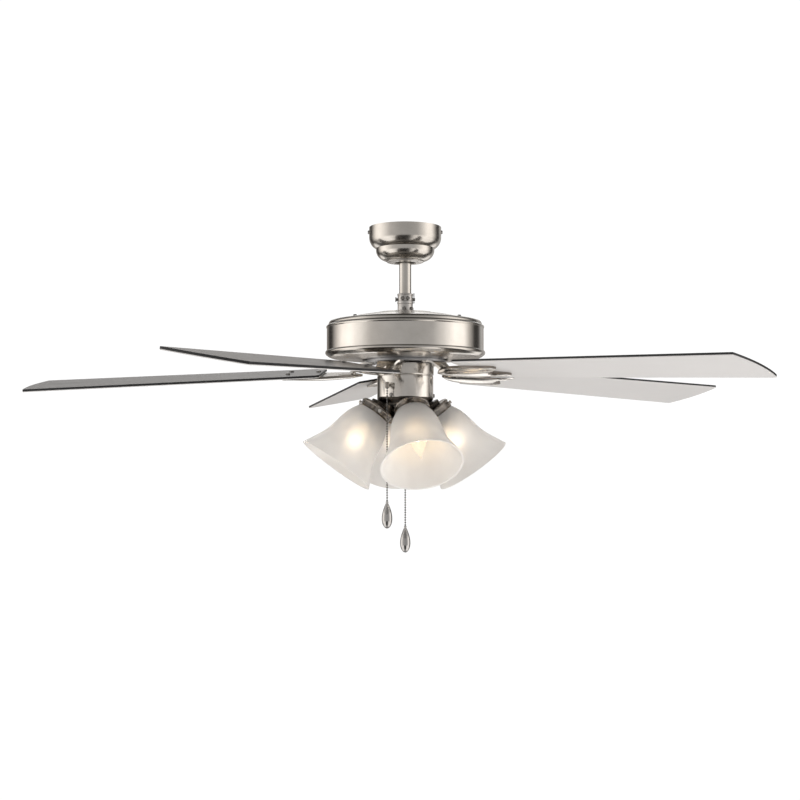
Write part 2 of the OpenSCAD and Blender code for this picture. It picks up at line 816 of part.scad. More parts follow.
module switch_cup() {
    skirt_r = switch_in - clear;
    color("silver") rotate_extrude() polygon([
        [shaft_r + fit, cup_top], [cup_r, cup_top], [cup_r, cup_low], [skirt_r, cup_low],
        [skirt_r, cup_low - skirt_h], [skirt_r - cup_t, cup_low - skirt_h],
        [skirt_r - cup_t, cup_low + cup_t],
        [cup_r - cup_t, cup_low + cup_t], [cup_r - cup_t, cup_top - cup_t], [shaft_r + fit, cup_top - cup_t]
    ]);
}

module switch_housing() {
    reach = 2 * switch_t + 6;
    slot_h = slider_h + slider_travel + 2 * slot_end_gap;
    color("silver") difference() {
        translate([0, 0, switch_low]) tube(switch_h, switch_r, switch_in);
        rotate([0, 0, speed_turn]) translate([switch_r - reach / 2, 0, speed_z])
            rotate([0, 90, 0]) cylinder(h = reach, r = bushing_r + clear);
        rotate([0, 0, reverse_turn])
            translate([switch_r - reach / 2, -slider_w / 2 - slot_end_gap, reverse_z - slot_h / 2])
                cube([reach, slider_w + 2 * slot_end_gap, slot_h]);
        around(housing_screws_n) translate([switch_r - reach / 2, 0, housing_screw_z])
            rotate([0, 90, 0]) cylinder(h = reach, r = screw_r + clear);
    }
}

// The speed switch: its body, its bushing through the wall with a nut, and the chain's guide
module speed_switch() {
    color("dimgray") rotate([0, 0, speed_turn]) translate([0, 0, speed_z]) difference() {
        union() {
            translate([16, -13, -10]) cube([27, 26, 20]);
            rotate([0, 90, 0]) cylinder(h = switch_r + 5, r = bushing_r);
            translate([switch_r + 0.2, 0, 0]) rotate([0, 90, 0])
                cylinder(h = 2.2, r = bushing_nut_r, $fn = 6);
            rotate([0, 90, 0]) cylinder(h = guide_out, r = guide_r - 0.9);
            translate([guide_out, 0, -guide_h / 2]) cylinder(h = guide_h, r = guide_r);
        }
        translate([guide_out, 0, -guide_h / 2 - cut]) cylinder(h = guide_h, r = guide_hole_r);
    }
}

module capacitor() {
    color("black") rotate([0, 0, 150]) translate([20, -19, switch_low + 12]) cube([15, 38, 20]);
}

module reverse_switch() {
    color("black") rotate([0, 0, reverse_turn])
        translate([switch_in - 13, -8, reverse_z - 8]) cube([9, 16, 16]);
}

// The reversing knob stands at the lower end of its slot
module reverse_slider() {
    color("black") rotate([0, 0, reverse_turn])
        translate([switch_in - 3.9, -slider_w / 2, reverse_z - (slider_h + slider_travel) / 2])
            cube([switch_t + 7, slider_w, slider_h]);
}

// ---------------------------------------------------------------- light kit

fitter_line = [
    [switch_r, switch_low], [switch_r, switch_low - fitter_rim_h], [switch_r - 2, switch_low - 5.5],
    [switch_r - 9, switch_low - 10], [switch_r - 21, fitter_low], [5.4, fitter_low]
];

module light_fitter() {
    color("gray") difference() {
        union() {
            turned_sheet(fitter_line, -fitter_t);
            translate([0, 0, switch_low - fitter_rim_h])
                tube(fitter_rim_h + 9, switch_in - 0.2, switch_in - 1.6);
            for (i = LAMPS) at_lamp(i) translate([0, 0, arm_back])
                cylinder(h = socket_cap_back - arm_back, r = arm_r);
        }
        around(housing_screws_n) translate([switch_in - 4, 0, housing_screw_z])
            rotate([0, 90, 0]) cylinder(h = 4 + switch_t / 2, r = screw_r + fit);
    }
}

module light_switch() {
    color("dimgray") {
        difference() {
            union() {
                translate([-11, -11, fitter_low + 2]) cube([22, 22, 16]);
                translate([0, 0, fitter_low - 2]) cylinder(h = 5, r = 5);
            }
            translate([0, 0, fitter_low - 2 - cut]) cylinder(h = 8, r = guide_hole_r);
        }
    }
}

module bottom_cap() {
    hole = guide_hole_r;
    color("silver") rotate_extrude() polygon([
        [hole, fitter_low - 2.2], [5.5, fitter_low - 2.2], [6, fitter_low - 0.1], [20, fitter_low - 0.1],
        [20.5, fitter_low - 1.5], [19, fitter_low - 4], [13, fitter_low - 8], [7, fitter_low - 10],
        [5.4, fitter_low - 12], [6.2, fitter_low - 14], [5.2, cap_low + 0.6], [hole, cap_low]
    ]);
}

// Each socket: a ribbed metal cap outside the holder and a sleeve inside it that takes the bulb's base
module lamp_sockets() {
    color("dimgray") for (i = LAMPS) at_lamp(i) difference() {
        union() {
            translate([0, 0, socket_cap_back])
                cylinder(h = holder_back - socket_cap_back, r = socket_cap_r);
            for (k = [0 : 2]) translate([0, 0, socket_cap_back + 0.5 + rib_pitch * k])
                cylinder(h = rib_pitch / 2, r = socket_cap_r + 1);
            translate([0, 0, holder_back]) cylinder(h = holder_t, r = sleeve_r - 2);
            translate([0, 0, holder_back + holder_t])
                cylinder(h = sleeve_front - holder_back - holder_t, r = sleeve_r);
        }
        translate([0, 0, bulb_seat]) cylinder(h = sleeve_front, r = base_r + clear);
    }
}

// The cups that hold the shades' necks
module shade_holders() {
    color("silver") for (i = LAMPS) at_lamp(i) difference() {
        rotate_extrude() polygon([
            [sleeve_r - 2 + fit, holder_back], [holder_r - 2, holder_back], [holder_r, holder_back + 2],
            [holder_r, holder_front - 1.4], [holder_r + 0.8, holder_front], [holder_r - 0.6, holder_front],
            [holder_r - holder_t, holder_front - 1.4],
            [holder_r - holder_t, holder_back + 2 + holder_t / 2],
            [holder_r - 2 - holder_t, holder_back + holder_t], [sleeve_r - 2 + fit, holder_back + holder_t]
        ]);
        around(3, 90) translate([neck_r, 0, thumb_z]) rotate([0, 90, 0]) cylinder(h = 8, r = 1.6 + fit);
    }
}

module thumb_screws() {
    color("silver") for (i = LAMPS) at_lamp(i) around(3, 90)
        translate([0, 0, thumb_z]) rotate([0, 90, 0]) {
            translate([0, 0, neck_r + fit]) cylinder(h = holder_r - neck_r + 2, r = 1.6, $fn = 32);
            translate([0, 0, holder_r + 0.6]) cylinder(h = 1.2, r = 2.2, $fn = 32);
            translate([0, 0, holder_r + 1.8]) cylinder(h = 2.6, r = 3, $fn = 48);
        }
}

// Bell of a shade, from the back of its neck to its mouth, as [radius, height] along the lamp
shade_line = [
    [neck_r, neck_back], [neck_r, -1], [neck_r + 1.2, 2], [neck_r + 5.5, 9], [neck_r + 9.6, 17],
    [neck_r + 13.2, 27], [neck_r + 15.8, 39], [neck_r + 17.8, 51], [neck_r + 20, 63],
    [mouth_r - 17.6, shade_l - 35], [mouth_r - 11.2, shade_l - 22], [mouth_r - 4.8, shade_l - 9],
    [mouth_r, shade_l]
];

module shade(i) {
    color("white") at_lamp(i) turned_sheet(shade_line, glass_t);
}

// A candle bulb: threaded base, shoulder, full body and drawn-out tip
module bulb(i) {
    b = bulb_seat + 0.2;
    g = b + base_l;
    l = bulb_l - base_l;
    color("white") at_lamp(i) rotate_extrude() polygon([
        [0, b], [4, b], [4.6, b + 2], [base_r - 1, b + 4], [base_r, b + 5],
        [base_r, g], [base_r - 0.6, g + 1.5],
        [bulb_r - 2.6, g + 0.10 * l], [bulb_r - 0.5, g + 0.2 * l], [bulb_r, g + 0.3 * l],
        [bulb_r - 0.8, g + 0.41 * l], [bulb_r - 3.2, g + 0.54 * l], [bulb_r - 6.8, g + 0.68 * l],
        [bulb_r - 10.6, g + 0.81 * l], [bulb_r - 13.8, g + 0.92 * l],
        [bulb_r - 15.4, g + 0.98 * l], [0, g + l]
    ]);
}

// ---------------------------------------------------------------- pull chains

// A tube through the points of a plumb route, with eight sides
function ring_points(p, r) =
    [for (k = [0 : chain_sides - 1]) p + r * [cos(k * 360 / chain_sides), sin(k * 360 / chain_sides), 0]];

module plumb_tube(x, y, top, low, r) {
    n = ceil((top - low) / chain_ring_gap);
    rings = [for (i = [0 : n]) ring_points([x, y, top + (low - top) * i / n], r)];
    points = [for (ring = rings) for (p = ring) p];
    sides = [for (i = [0 : n - 1]) for (k = [0 : chain_sides - 1])
        let (a = i * chain_sides, b = a + chain_sides, m = (k + 1) % chain_sides)
            [a + k, a + m, b + m, b + k]];
    first = [for (k = [chain_sides - 1 : -1 : 0]) k];
    last = [for (k = [0 : chain_sides - 1]) n * chain_sides + k];
    polyhedron(points = points, faces = concat([first, last], sides));
}

module fob(x, y, top) {
    r = fob_d / 2;
    color("silver") translate([x, y, top]) rotate_extrude() polygon(concat(
        [[0, 0], [2, 0], [2.4, -1.2], [2.2, -3]],
        [for (k = [1 : 7]) [2.2 + (r - 2.2) * pow(sin(90 * k / 7), 0.95), -3 - (0.66 * fob_l - 3) * k / 7]],
        [for (k = [1 : 6]) [r * cos(15 * k), -0.66 * fob_l - 0.34 * fob_l * sin(15 * k)]]
    ));
}

module fan_chain() {
    color("silver") plumb_tube(fan_chain_x, fan_chain_y, fan_chain_top, fan_chain_low, chain_r);
}

module fan_fob() {
    fob(fan_chain_x, fan_chain_y, fan_chain_low);
}

module light_chain() {
    color("silver") plumb_tube(0, 0, light_chain_top, light_chain_low, chain_r);
}

module light_fob() {
    fob(0, 0, light_chain_low);
}

hanger_bracket();
canopy();
canopy_screws();
canopy_trim();
hanger_ball();
downrod();
cross_pins();
supply_leads();
coupling();
motor_shaft();
shaft_nuts();
top_cover();
housing_band();
bottom_cover();
housing_bolts();
machine_screws();
stator_core();
stator_windings();
bearing_inner_rings();
bearing_balls();
bearing_outer_rings();
rotor_top_shell();
rotor_bottom_shell();
rotor_ring();
iron_screws();
blade_screws();
switch_cup();
switch_housing();
speed_switch();
light_switch();
capacitor();
reverse_switch();
reverse_slider();
light_fitter();
bottom_cap();
lamp_sockets();
shade_holders();
thumb_screws();
fan_chain();
fan_fob();
light_chain();
light_fob();
for (i = BLADES) {
    blade_iron(i);
    blade(i);
}
for (i = LAMPS) {
    shade(i);
    bulb(i);
}
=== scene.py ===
import math

import bmesh
import bpy
from mathutils import Matrix, Vector


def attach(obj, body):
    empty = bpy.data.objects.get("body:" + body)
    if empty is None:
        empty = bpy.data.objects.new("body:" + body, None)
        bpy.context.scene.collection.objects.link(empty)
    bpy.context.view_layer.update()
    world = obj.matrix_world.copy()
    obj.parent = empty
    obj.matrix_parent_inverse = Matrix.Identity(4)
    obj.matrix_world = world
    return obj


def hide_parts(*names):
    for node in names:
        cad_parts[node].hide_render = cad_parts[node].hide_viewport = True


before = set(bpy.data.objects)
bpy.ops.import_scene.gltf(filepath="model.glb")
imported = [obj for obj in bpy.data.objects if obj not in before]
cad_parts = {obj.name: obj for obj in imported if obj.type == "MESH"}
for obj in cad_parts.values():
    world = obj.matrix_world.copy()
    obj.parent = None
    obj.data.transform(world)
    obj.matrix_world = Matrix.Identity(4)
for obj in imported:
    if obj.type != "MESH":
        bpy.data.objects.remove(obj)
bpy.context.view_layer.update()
MM = 0.001
SCENE = bpy.context.scene
COLLECTION = SCENE.collection

# ---------------------------------------------------------------- sizes in millimetres, from the CAD model

NECK_X = 120.0  # radius at which a blade's frame is set
BLADE_Z = -253.3
BLADE_TURN = -41.5
BLADE_STEP = 72
PITCH = 10.3
DROOP = 2.2
BLADE_T = 5.0
LAMP_Z = -325.8
LAMP_R = 55.5
LAMP_TILT = 36.5
LAMP_TURN = 13.0
LAMP_STEP = 90
LAMP_LIGHT = 60.0  # place of the light in a bulb, along the lamp's axis
CHAIN_D = 3.2
CHAIN_PITCH = 4.35
FAN_CHAIN_AT = (-31.0, -53.69)
FAN_CHAIN_TOP = -274.6
FAN_CHAIN_LENGTH = 202.0
LIGHT_CHAIN_TOP = -314.3
LIGHT_CHAIN_LENGTH = 206.0
FOB_LENGTH = 46.0
FOB_R = 9.0
FOB_SHOULDER, FOB_TIP = 0.64, 0.36  # shares of the fob's length above and below its widest place
CANOPY_SHEET = 1.2
HOUSING_SHEET = 1.5


def spin_z(degrees):
    return Matrix.Rotation(math.radians(degrees), 4, "Z")


def lamp_frame(i):
    """The frame of lamp i, whose Z runs out of the shade's mouth, in millimetres."""
    return (
        spin_z(LAMP_TURN + LAMP_STEP * (i - 1))
        @ Matrix.Translation((LAMP_R, 0, LAMP_Z))
        @ Matrix.Rotation(math.radians(180 - LAMP_TILT), 4, "Y")
    )


def blade_frame(i):
    """The frame of blade i, whose X runs to the tip and whose Z is the blade's normal, in millimetres."""
    return (
        spin_z(BLADE_TURN + BLADE_STEP * (i - 1))
        @ Matrix.Translation((NECK_X, 0, BLADE_Z))
        @ Matrix.Rotation(math.radians(DROOP), 4, "Y")
        @ Matrix.Rotation(math.radians(-PITCH), 4, "X")
    )


# ---------------------------------------------------------------- material building


class Nodes:
    """A material's node tree with short calls."""

    def __init__(self, name):
        self.material = bpy.data.materials.new(name)
        self.material.use_nodes = True
        self.tree = self.material.node_tree
        self.shader = self.tree.nodes["Principled BSDF"]
        self.output = self.tree.nodes["Material Output"]

    def add(self, kind, **values):
        made = self.tree.nodes.new(kind)
        for key, value in values.items():
            setattr(made, key, value)
        return made

    def link(self, out, into):
        self.tree.links.new(out, into)

    def set(self, **values):
        for key, value in values.items():
            self.shader.inputs[key.replace("_", " ")].default_value = value

    def place(self, scale=(1, 1, 1), uv=False):
        """Object or UV coordinates, scaled."""
        coordinates = self.add("ShaderNodeTexCoord")
        mapping = self.add("ShaderNodeMapping")
        mapping.inputs["Scale"].default_value = scale
        self.link(coordinates.outputs["UV" if uv else "Object"], mapping.inputs["Vector"])
        return mapping.outputs["Vector"]

    def noise(self, where, scale, detail=3.0, roughness=0.5):
        noise = self.add("ShaderNodeTexNoise")
        noise.inputs["Scale"].default_value = scale
        noise.inputs["Detail"].default_value = detail
        noise.inputs["Roughness"].default_value = roughness
        self.link(where, noise.inputs["Vector"])
        return noise.outputs["Fac"]

    def ramp(self, value, stops):
        ramp = self.add("ShaderNodeValToRGB")
        elements = ramp.color_ramp.elements
        while len(elements) < len(stops):
            elements.new(0.5)
        for element, (at, colour) in zip(elements, stops):
            element.position = at
            element.color = (*colour, 1)
        self.link(value, ramp.inputs["Fac"])
        return ramp.outputs["Color"]

    def remap(self, value, low, high, to_low, to_high):
        node = self.add("ShaderNodeMapRange")
        for name, number in (("From Min", low), ("From Max", high), ("To Min", to_low), ("To Max", to_high)):
            node.inputs[name].default_value = number
        self.link(value, node.inputs["Value"])
        return node.outputs["Result"]

    def bump(self, height, distance, strength=1.0):
        bump = self.add("ShaderNodeBump")
        bump.inputs["Distance"].default_value = distance
        bump.inputs["Strength"].default_value = strength
        self.link(height, bump.inputs["Height"])
        self.link(bump.outputs["Normal"], self.shader.inputs["Normal"])


def metal(name, light, dark, rough, grain=0.00003, stretch=(1, 1, 1), scale=90.0):
    """Metal with clouds in its colour and roughness, and a fine grain."""
    m = Nodes(name)
    m.set(Metallic=1.0)
    where = m.place(stretch)
    clouds = m.noise(m.place(), 22.0, 4.0, 0.6)
    grains = m.noise(where, scale, 5.0, 0.65)
    m.link(m.ramp(clouds, [(0.3, dark), (0.7, light)]), m.shader.inputs["Base Color"])
    m.link(m.remap(grains, 0.25, 0.75, rough * 0.75, rough * 1.3), m.shader.inputs["Roughness"])
    m.bump(grains, grain, 0.5)
    return m.material


def plastic(name, colour, rough, grain=0.00004):
    """Plastic or paint with faint clouds and a fine grain."""
    m = Nodes(name)
    m.set(Specular_IOR_Level=0.4)
    where = m.place()
    lighter = tuple(min(1, c * 1.35 + 0.004) for c in colour)
    clouds = m.noise(where, 60.0, 4.0)
    grains = m.noise(where, 700.0, 2.0)
    m.link(m.ramp(clouds, [(0.3, colour), (0.75, lighter)]), m.shader.inputs["Base Color"])
    m.link(m.remap(grains, 0.3, 0.7, rough * 0.8, rough * 1.2), m.shader.inputs["Roughness"])
    m.bump(grains, grain, 0.4)
    return m.material


def blade_face(name, dark, light, rough, coat):
    """Laminated board: fine streaks along the blade under a clear coat."""
    m = Nodes(name)
    m.set(Coat_Weight=coat, Coat_Roughness=0.08, Specular_IOR_Level=0.45)
    along = m.place((3.0, 90.0, 1.0), uv=True)
    streaks = m.noise(along, 3.0, 6.0, 0.6)
    clouds = m.noise(m.place((1, 1, 1), uv=True), 9.0, 3.0)
    mixed = m.add("ShaderNodeMath", operation="MULTIPLY_ADD")
    mixed.inputs[1].default_value = 0.6
    m.link(streaks, mixed.inputs[0])
    scaled = m.add("ShaderNodeMath", operation="MULTIPLY")
    scaled.inputs[1].default_value = 0.4
    m.link(clouds, scaled.inputs[0])
    m.link(scaled.outputs[0], mixed.inputs[2])
    m.link(m.ramp(mixed.outputs[0], [(0.3, dark), (0.7, light)]), m.shader.inputs["Base Color"])
    m.link(m.remap(streaks, 0.3, 0.7, rough * 0.85, rough * 1.2), m.shader.inputs["Roughness"])
    m.bump(streaks, 0.000008, 0.4)
    return m.material


def glass_with_painted_glow(name, low, high, strength):
    """Frosted glass, greyer at the neck as painted shade, with a faint painted warm glow of the bulb's light.
    V runs along the wall's section.
    """
    m = Nodes(name)
    m.set(IOR=1.3, Specular_IOR_Level=0.5, Transmission_Weight=0.55)
    uv = m.add("ShaderNodeSeparateXYZ")
    m.link(m.place((1, 1, 1), uv=True), uv.inputs[0])
    frost = m.noise(m.place(), 900.0, 2.0)
    cloud = m.noise(m.place(), 30.0, 3.0)
    # Painted shade: the base colour is darkened towards the neck on the outer and inner faces of the wall.
    neck, bell = (0.60,) * 3, (0.94,) * 3
    grey = m.ramp(uv.outputs["Y"], [(0.0, neck), (0.22, bell), (0.78, bell), (1.0, neck)])
    tint = m.add("ShaderNodeMix", data_type="RGBA", blend_type="MULTIPLY")
    tint.inputs["Factor"].default_value = 1.0
    m.link(m.ramp(cloud, [(0.3, (0.82, 0.81, 0.80)), (0.7, (0.88, 0.875, 0.865))]), tint.inputs["A"])
    m.link(grey, tint.inputs["B"])
    m.link(tint.outputs["Result"], m.shader.inputs["Base Color"])
    m.link(m.remap(frost, 0.3, 0.7, 0.56, 0.70), m.shader.inputs["Roughness"])
    # Painted glow: emission along the wall, brightest on the inside near the bulb, stands in for the bulb's
    # light through the glass.
    glow = m.ramp(
        uv.outputs["Y"],
        [(0.0, low), (0.25, low), (0.62, high), (1.0, low)],
    )
    m.link(glow, m.shader.inputs["Emission Color"])
    m.shader.inputs["Emission Strength"].default_value = strength
    m.bump(frost, 0.00005, 0.35)
    return m.material


def clear_glass(name):
    """Thin glass that lets the light inside it through."""
    m = Nodes(name)
    m.set(IOR=1.45, Specular_IOR_Level=1.0)
    ripple = m.noise(m.place(), 120.0, 2.0)
    m.link(m.remap(ripple, 0.3, 0.7, 0.02, 0.06), m.shader.inputs["Roughness"])
    m.link(m.remap(ripple, 0.3, 0.7, 0.16, 0.22), m.shader.inputs["Alpha"])
    amber = m.ramp(ripple, [(0.3, (0.60, 0.56, 0.50)), (0.7, (0.70, 0.66, 0.60))])
    m.link(amber, m.shader.inputs["Base Color"])
    m.bump(ripple, 0.0001, 0.3)
    return m.material


def glowing_wire(name, colour, strength):
    """A hot wire."""
    m = Nodes(name)
    hot = m.noise(m.place(), 400.0, 2.0)
    m.link(m.ramp(hot, [(0.2, colour), (0.8, (1.0, 0.86, 0.6))]), m.shader.inputs["Emission Color"])
    m.shader.inputs["Emission Strength"].default_value = strength
    return m.material


M = {
    "nickel": metal("satin_nickel", (0.62, 0.59, 0.55), (0.54, 0.51, 0.47), 0.20, 0.00002, (1, 1, 12), 60.0),
    "band": metal("band_nickel", (0.66, 0.63, 0.59), (0.58, 0.55, 0.51), 0.14, 0.00003, (1, 1, 45), 45.0),
    "pale": metal("pale_nickel", (0.80, 0.78, 0.75), (0.70, 0.68, 0.65), 0.36, 0.00005, (1, 1, 1), 160.0),
    "cast": metal("cast_nickel", (0.80, 0.77, 0.73), (0.66, 0.63, 0.59), 0.15, 0.00005, (1, 1, 1), 120.0),
    "rough_cast": metal("sand_cast", (0.70, 0.68, 0.66), (0.48, 0.46, 0.44), 0.42, 0.00035, (1, 1, 1), 260.0),
    "fob": metal("fob_chrome", (0.50, 0.49, 0.48), (0.42, 0.41, 0.40), 0.14, 0.00001, (1, 1, 1), 200.0),
    # The ball chain is nickel, given a near-black metal as painted dark reflections.
    "beads": metal("bead_nickel_painted_dark", (0.20, 0.195, 0.19), (0.13, 0.125, 0.12), 0.18, 0.00001, (1, 1, 1), 200.0),
    # Nickel made darker as painted shade and painted dark reflections, used on the holder bands, the switch's
    # arm and eye, and the irons' steep faces.
    "shaded_nickel": metal("nickel_painted_dark", (0.34, 0.31, 0.28), (0.22, 0.20, 0.18), 0.22, 0.00003),
    # Black metal: the real finish of the socket cups, and painted shade on the nickel fitter pan and its arms.
    "dark_metal": metal("black_metal_and_painted_shade", (0.075, 0.065, 0.055), (0.035, 0.03, 0.026), 0.28, 0.00005),
    "screw": metal("screw_steel", (0.30, 0.29, 0.28), (0.18, 0.17, 0.16), 0.30, 0.00004),
    "zinc": metal("zinc_plate", (0.72, 0.72, 0.70), (0.58, 0.58, 0.57), 0.34, 0.00005),
    "steel": metal("ground_steel", (0.56, 0.56, 0.57), (0.44, 0.44, 0.45), 0.25, 0.00003, (1, 1, 8), 90.0),
    "core": metal("laminations", (0.30, 0.31, 0.33), (0.16, 0.16, 0.18), 0.45, 0.0001, (1, 1, 40), 60.0),
    "copper": metal("copper_windings", (0.75, 0.36, 0.16), (0.50, 0.20, 0.08), 0.30, 0.0003, (1, 1, 1), 350.0),
    "diecast": metal("die_cast", (0.52, 0.52, 0.53), (0.38, 0.38, 0.39), 0.45, 0.0001, (1, 1, 1), 200.0),
    "brass": metal("brass_base", (0.80, 0.62, 0.32), (0.62, 0.45, 0.2), 0.25, 0.00004),
    "black": plastic("black_plastic", (0.018, 0.018, 0.018), 0.38),
    "nylon": plastic("ball_nylon", (0.03, 0.03, 0.032), 0.5),
    "wires": plastic("wire_plastic", (0.025, 0.025, 0.028), 0.3, 0.00002),
    "blade_top": blade_face("blade_top", (0.022, 0.015, 0.012), (0.036, 0.026, 0.021), 0.34, 0.25),
    "blade_under": blade_face("blade_under", (0.52, 0.51, 0.505), (0.57, 0.56, 0.555), 0.40, 0.08),
    "blade_edge": plastic("blade_edge", (0.008, 0.008, 0.009), 0.42, 0.00002),
    # The shade glass carries a painted glow and painted shade towards its neck.
    "shade": glass_with_painted_glow("frosted_glass", (0.80, 0.76, 0.72), (1.0, 0.93, 0.84), 0.06),
    "bulb": clear_glass("bulb_glass"),
    "filament": glowing_wire("filament", (1.0, 0.62, 0.26), 60.0),
}

# ---------------------------------------------------------------- mesh building


def piece(
    name, verts, faces, materials, body, replaces=(), slot=None, place=None, uvs=None, index=None, sharp=35
):
    """A mesh object from points in millimetres.

    uvs holds one pair per vertex and index one material per face. Edges past sharp degrees stay sharp.
    """
    matrix = place or Matrix.Identity(4)
    mesh = bpy.data.meshes.new(name)
    mesh.from_pydata([(matrix @ Vector(v)) * MM for v in verts], [], faces)
    for material in materials:
        mesh.materials.append(material)
    if index:
        mesh.polygons.foreach_set("material_index", index)
    if uvs:
        layer = mesh.uv_layers.new(name="local")
        for loop in mesh.loops:
            layer.data[loop.index].uv = uvs[loop.vertex_index]
    work = bmesh.new()
    work.from_mesh(mesh)
    bmesh.ops.remove_doubles(work, verts=work.verts, dist=1e-7)
    bmesh.ops.recalc_face_normals(work, faces=work.faces)
    limit = math.radians(sharp)
    for face in work.faces:
        face.smooth = True
    for edge in work.edges:
        edge.smooth = not (len(edge.link_faces) == 2 and edge.calc_face_angle(0) > limit)
    work.to_mesh(mesh)
    work.free()
    made = bpy.data.objects.new(name, mesh)
    COLLECTION.objects.link(made)
    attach(made, body)
    if replaces:
        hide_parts(*replaces)
    return made


class Build:
    """Gathers several closed shells into one mesh."""

    def __init__(self):
        self.verts, self.faces, self.uvs, self.index = [], [], [], []

    def add(self, verts, faces, uvs=None, matrix=None, material=0):
        base = len(self.verts)
        self.verts += [tuple(matrix @ Vector(v)) for v in verts] if matrix else list(verts)
        self.faces += [tuple(base + k for k in f) for f in faces]
        self.uvs += list(uvs) if uvs else [(v[0] * MM, v[1] * MM) for v in verts]
        self.index += [material] * len(faces)
        return self

    def piece(self, name, materials, body, **options):
        return piece(name, self.verts, self.faces, materials, body, uvs=self.uvs, index=self.index, **options)


def fillet(points, steps=4):
    """A profile whose points may carry a third number, the length over which the corner is rounded."""
    out = []
    for i, p in enumerate(points):
        cut = p[2] if len(p) > 2 else 0
        here = Vector(p[:2])
        if not cut or i in (0, len(points) - 1):
            out.append(tuple(here))
            continue
        before, after = Vector(points[i - 1][:2]), Vector(points[i + 1][:2])
        reach = min(cut, (before - here).length * 0.48, (after - here).length * 0.48)
        a = here + (before - here).normalized() * reach
        b = here + (after - here).normalized() * reach
        for k in range(steps + 1):
            t = k / steps
            out.append(tuple(a * (1 - t) ** 2 + here * 2 * t * (1 - t) + b * t * t))
    return out


def arc(centre, a, b, start, end, steps):
    """Points along an ellipse with half axes a and b, from one angle to another in degrees."""
    return [
        (
            centre[0] + a * math.cos(math.radians(start + (end - start) * k / steps)),
            centre[1] + b * math.sin(math.radians(start + (end - start) * k / steps)),
        )
        for k in range(steps + 1)
    ]


def inward(points, thickness):
    """The same line moved sideways by thickness, to its right as it runs."""
    out = []
    for i, p in enumerate(points):
        a, b = Vector(points[max(i - 1, 0)]), Vector(points[min(i + 1, len(points) - 1)])
        d = (b - a).normalized()
        out.append((max(p[0] + d[1] * thickness, 0.0), p[1] - d[0] * thickness))
    return out


def lathe(profile, segments=128, closed=True):
    """A solid of revolution from (radius, height) points.

    A closed line is a loop, and an open one starts and ends on the axis.
    """
    n = len(profile)
    lengths = [0.0]
    for a, b in zip(profile, profile[1:]):
        lengths.append(lengths[-1] + math.dist(a, b))
    total = lengths[-1] or 1
    verts, uvs = [], []
    for s in range(segments):
        angle = math.tau * s / segments
        c, d = math.cos(angle), math.sin(angle)
        for (r, z), l in zip(profile, lengths):
            verts.append((r * c, r * d, z))
            uvs.append((s / segments, l / total))
    faces = []
    for s in range(segments):
        a, b = s * n, ((s + 1) % segments) * n
        for k in range(n if closed else n - 1):
            m = (k + 1) % n
            quad = [a + k, b + k, b + m, a + m]
            if profile[k][0] < 1e-6 and profile[m][0] < 1e-6:
                continue
            if profile[k][0] < 1e-6:
                quad = [a + k, b + m, a + m]
            elif profile[m][0] < 1e-6:
                quad = [a + k, b + k, a + m]
            faces.append(tuple(quad))
    return verts, faces, uvs


def sheet_loop(outer, thickness):
    """A closed profile of a sheet whose outer face is the given line."""
    return list(outer) + list(reversed(inward(outer, thickness)))


def prism(outline, layers):
    """A closed solid from an outline and layers of (height, inset), each the outline moved inwards."""
    n = len(outline)
    verts, faces = [], []
    for z, inset in layers:
        for k in range(n):
            p, before, after = Vector(outline[k]), Vector(outline[k - 1]), Vector(outline[(k + 1) % n])
            d1, d2 = (p - before).normalized(), (after - p).normalized()
            normal = Vector((-(d1 + d2)[1], (d1 + d2)[0])).normalized()
            lean = max(0.5, normal.dot(Vector((-d1[1], d1[0]))))
            q = p + normal * inset / lean
            verts.append((q[0], q[1], z))
    for i in range(len(layers) - 1):
        for k in range(n):
            m = (k + 1) % n
            faces.append((i * n + k, i * n + m, (i + 1) * n + m, (i + 1) * n + k))
    top, bottom = len(faces), len(faces) + 1
    faces.append(tuple(range(n)))
    faces.append(tuple((len(layers) - 1) * n + k for k in range(n)))
    return verts, faces, (top, bottom)


def tube(points, radius, sides=8):
    """A tube along a line of points, with flat ends."""
    verts, faces = [], []
    up = Vector((0, 0, 1))
    n = len(points)
    side = None
    for i, p in enumerate(points):
        a, b = Vector(points[max(i - 1, 0)]), Vector(points[min(i + 1, n - 1)])
        d = (b - a).normalized()
        if side is None:
            side = d.cross(up if abs(d[2]) < 0.9 else Vector((1, 0, 0))).normalized()
        side = (side - d * side.dot(d)).normalized()
        other = d.cross(side)
        for k in range(sides):
            w = math.tau * k / sides
            verts.append(tuple(Vector(p) + side * math.cos(w) * radius + other * math.sin(w) * radius))
    for i in range(n - 1):
        for k in range(sides):
            m = (k + 1) % sides
            faces.append((i * sides + k, i * sides + m, (i + 1) * sides + m, (i + 1) * sides + k))
    faces.append(tuple(range(sides)))
    faces.append(tuple((n - 1) * sides + k for k in range(sides)))
    return verts, faces


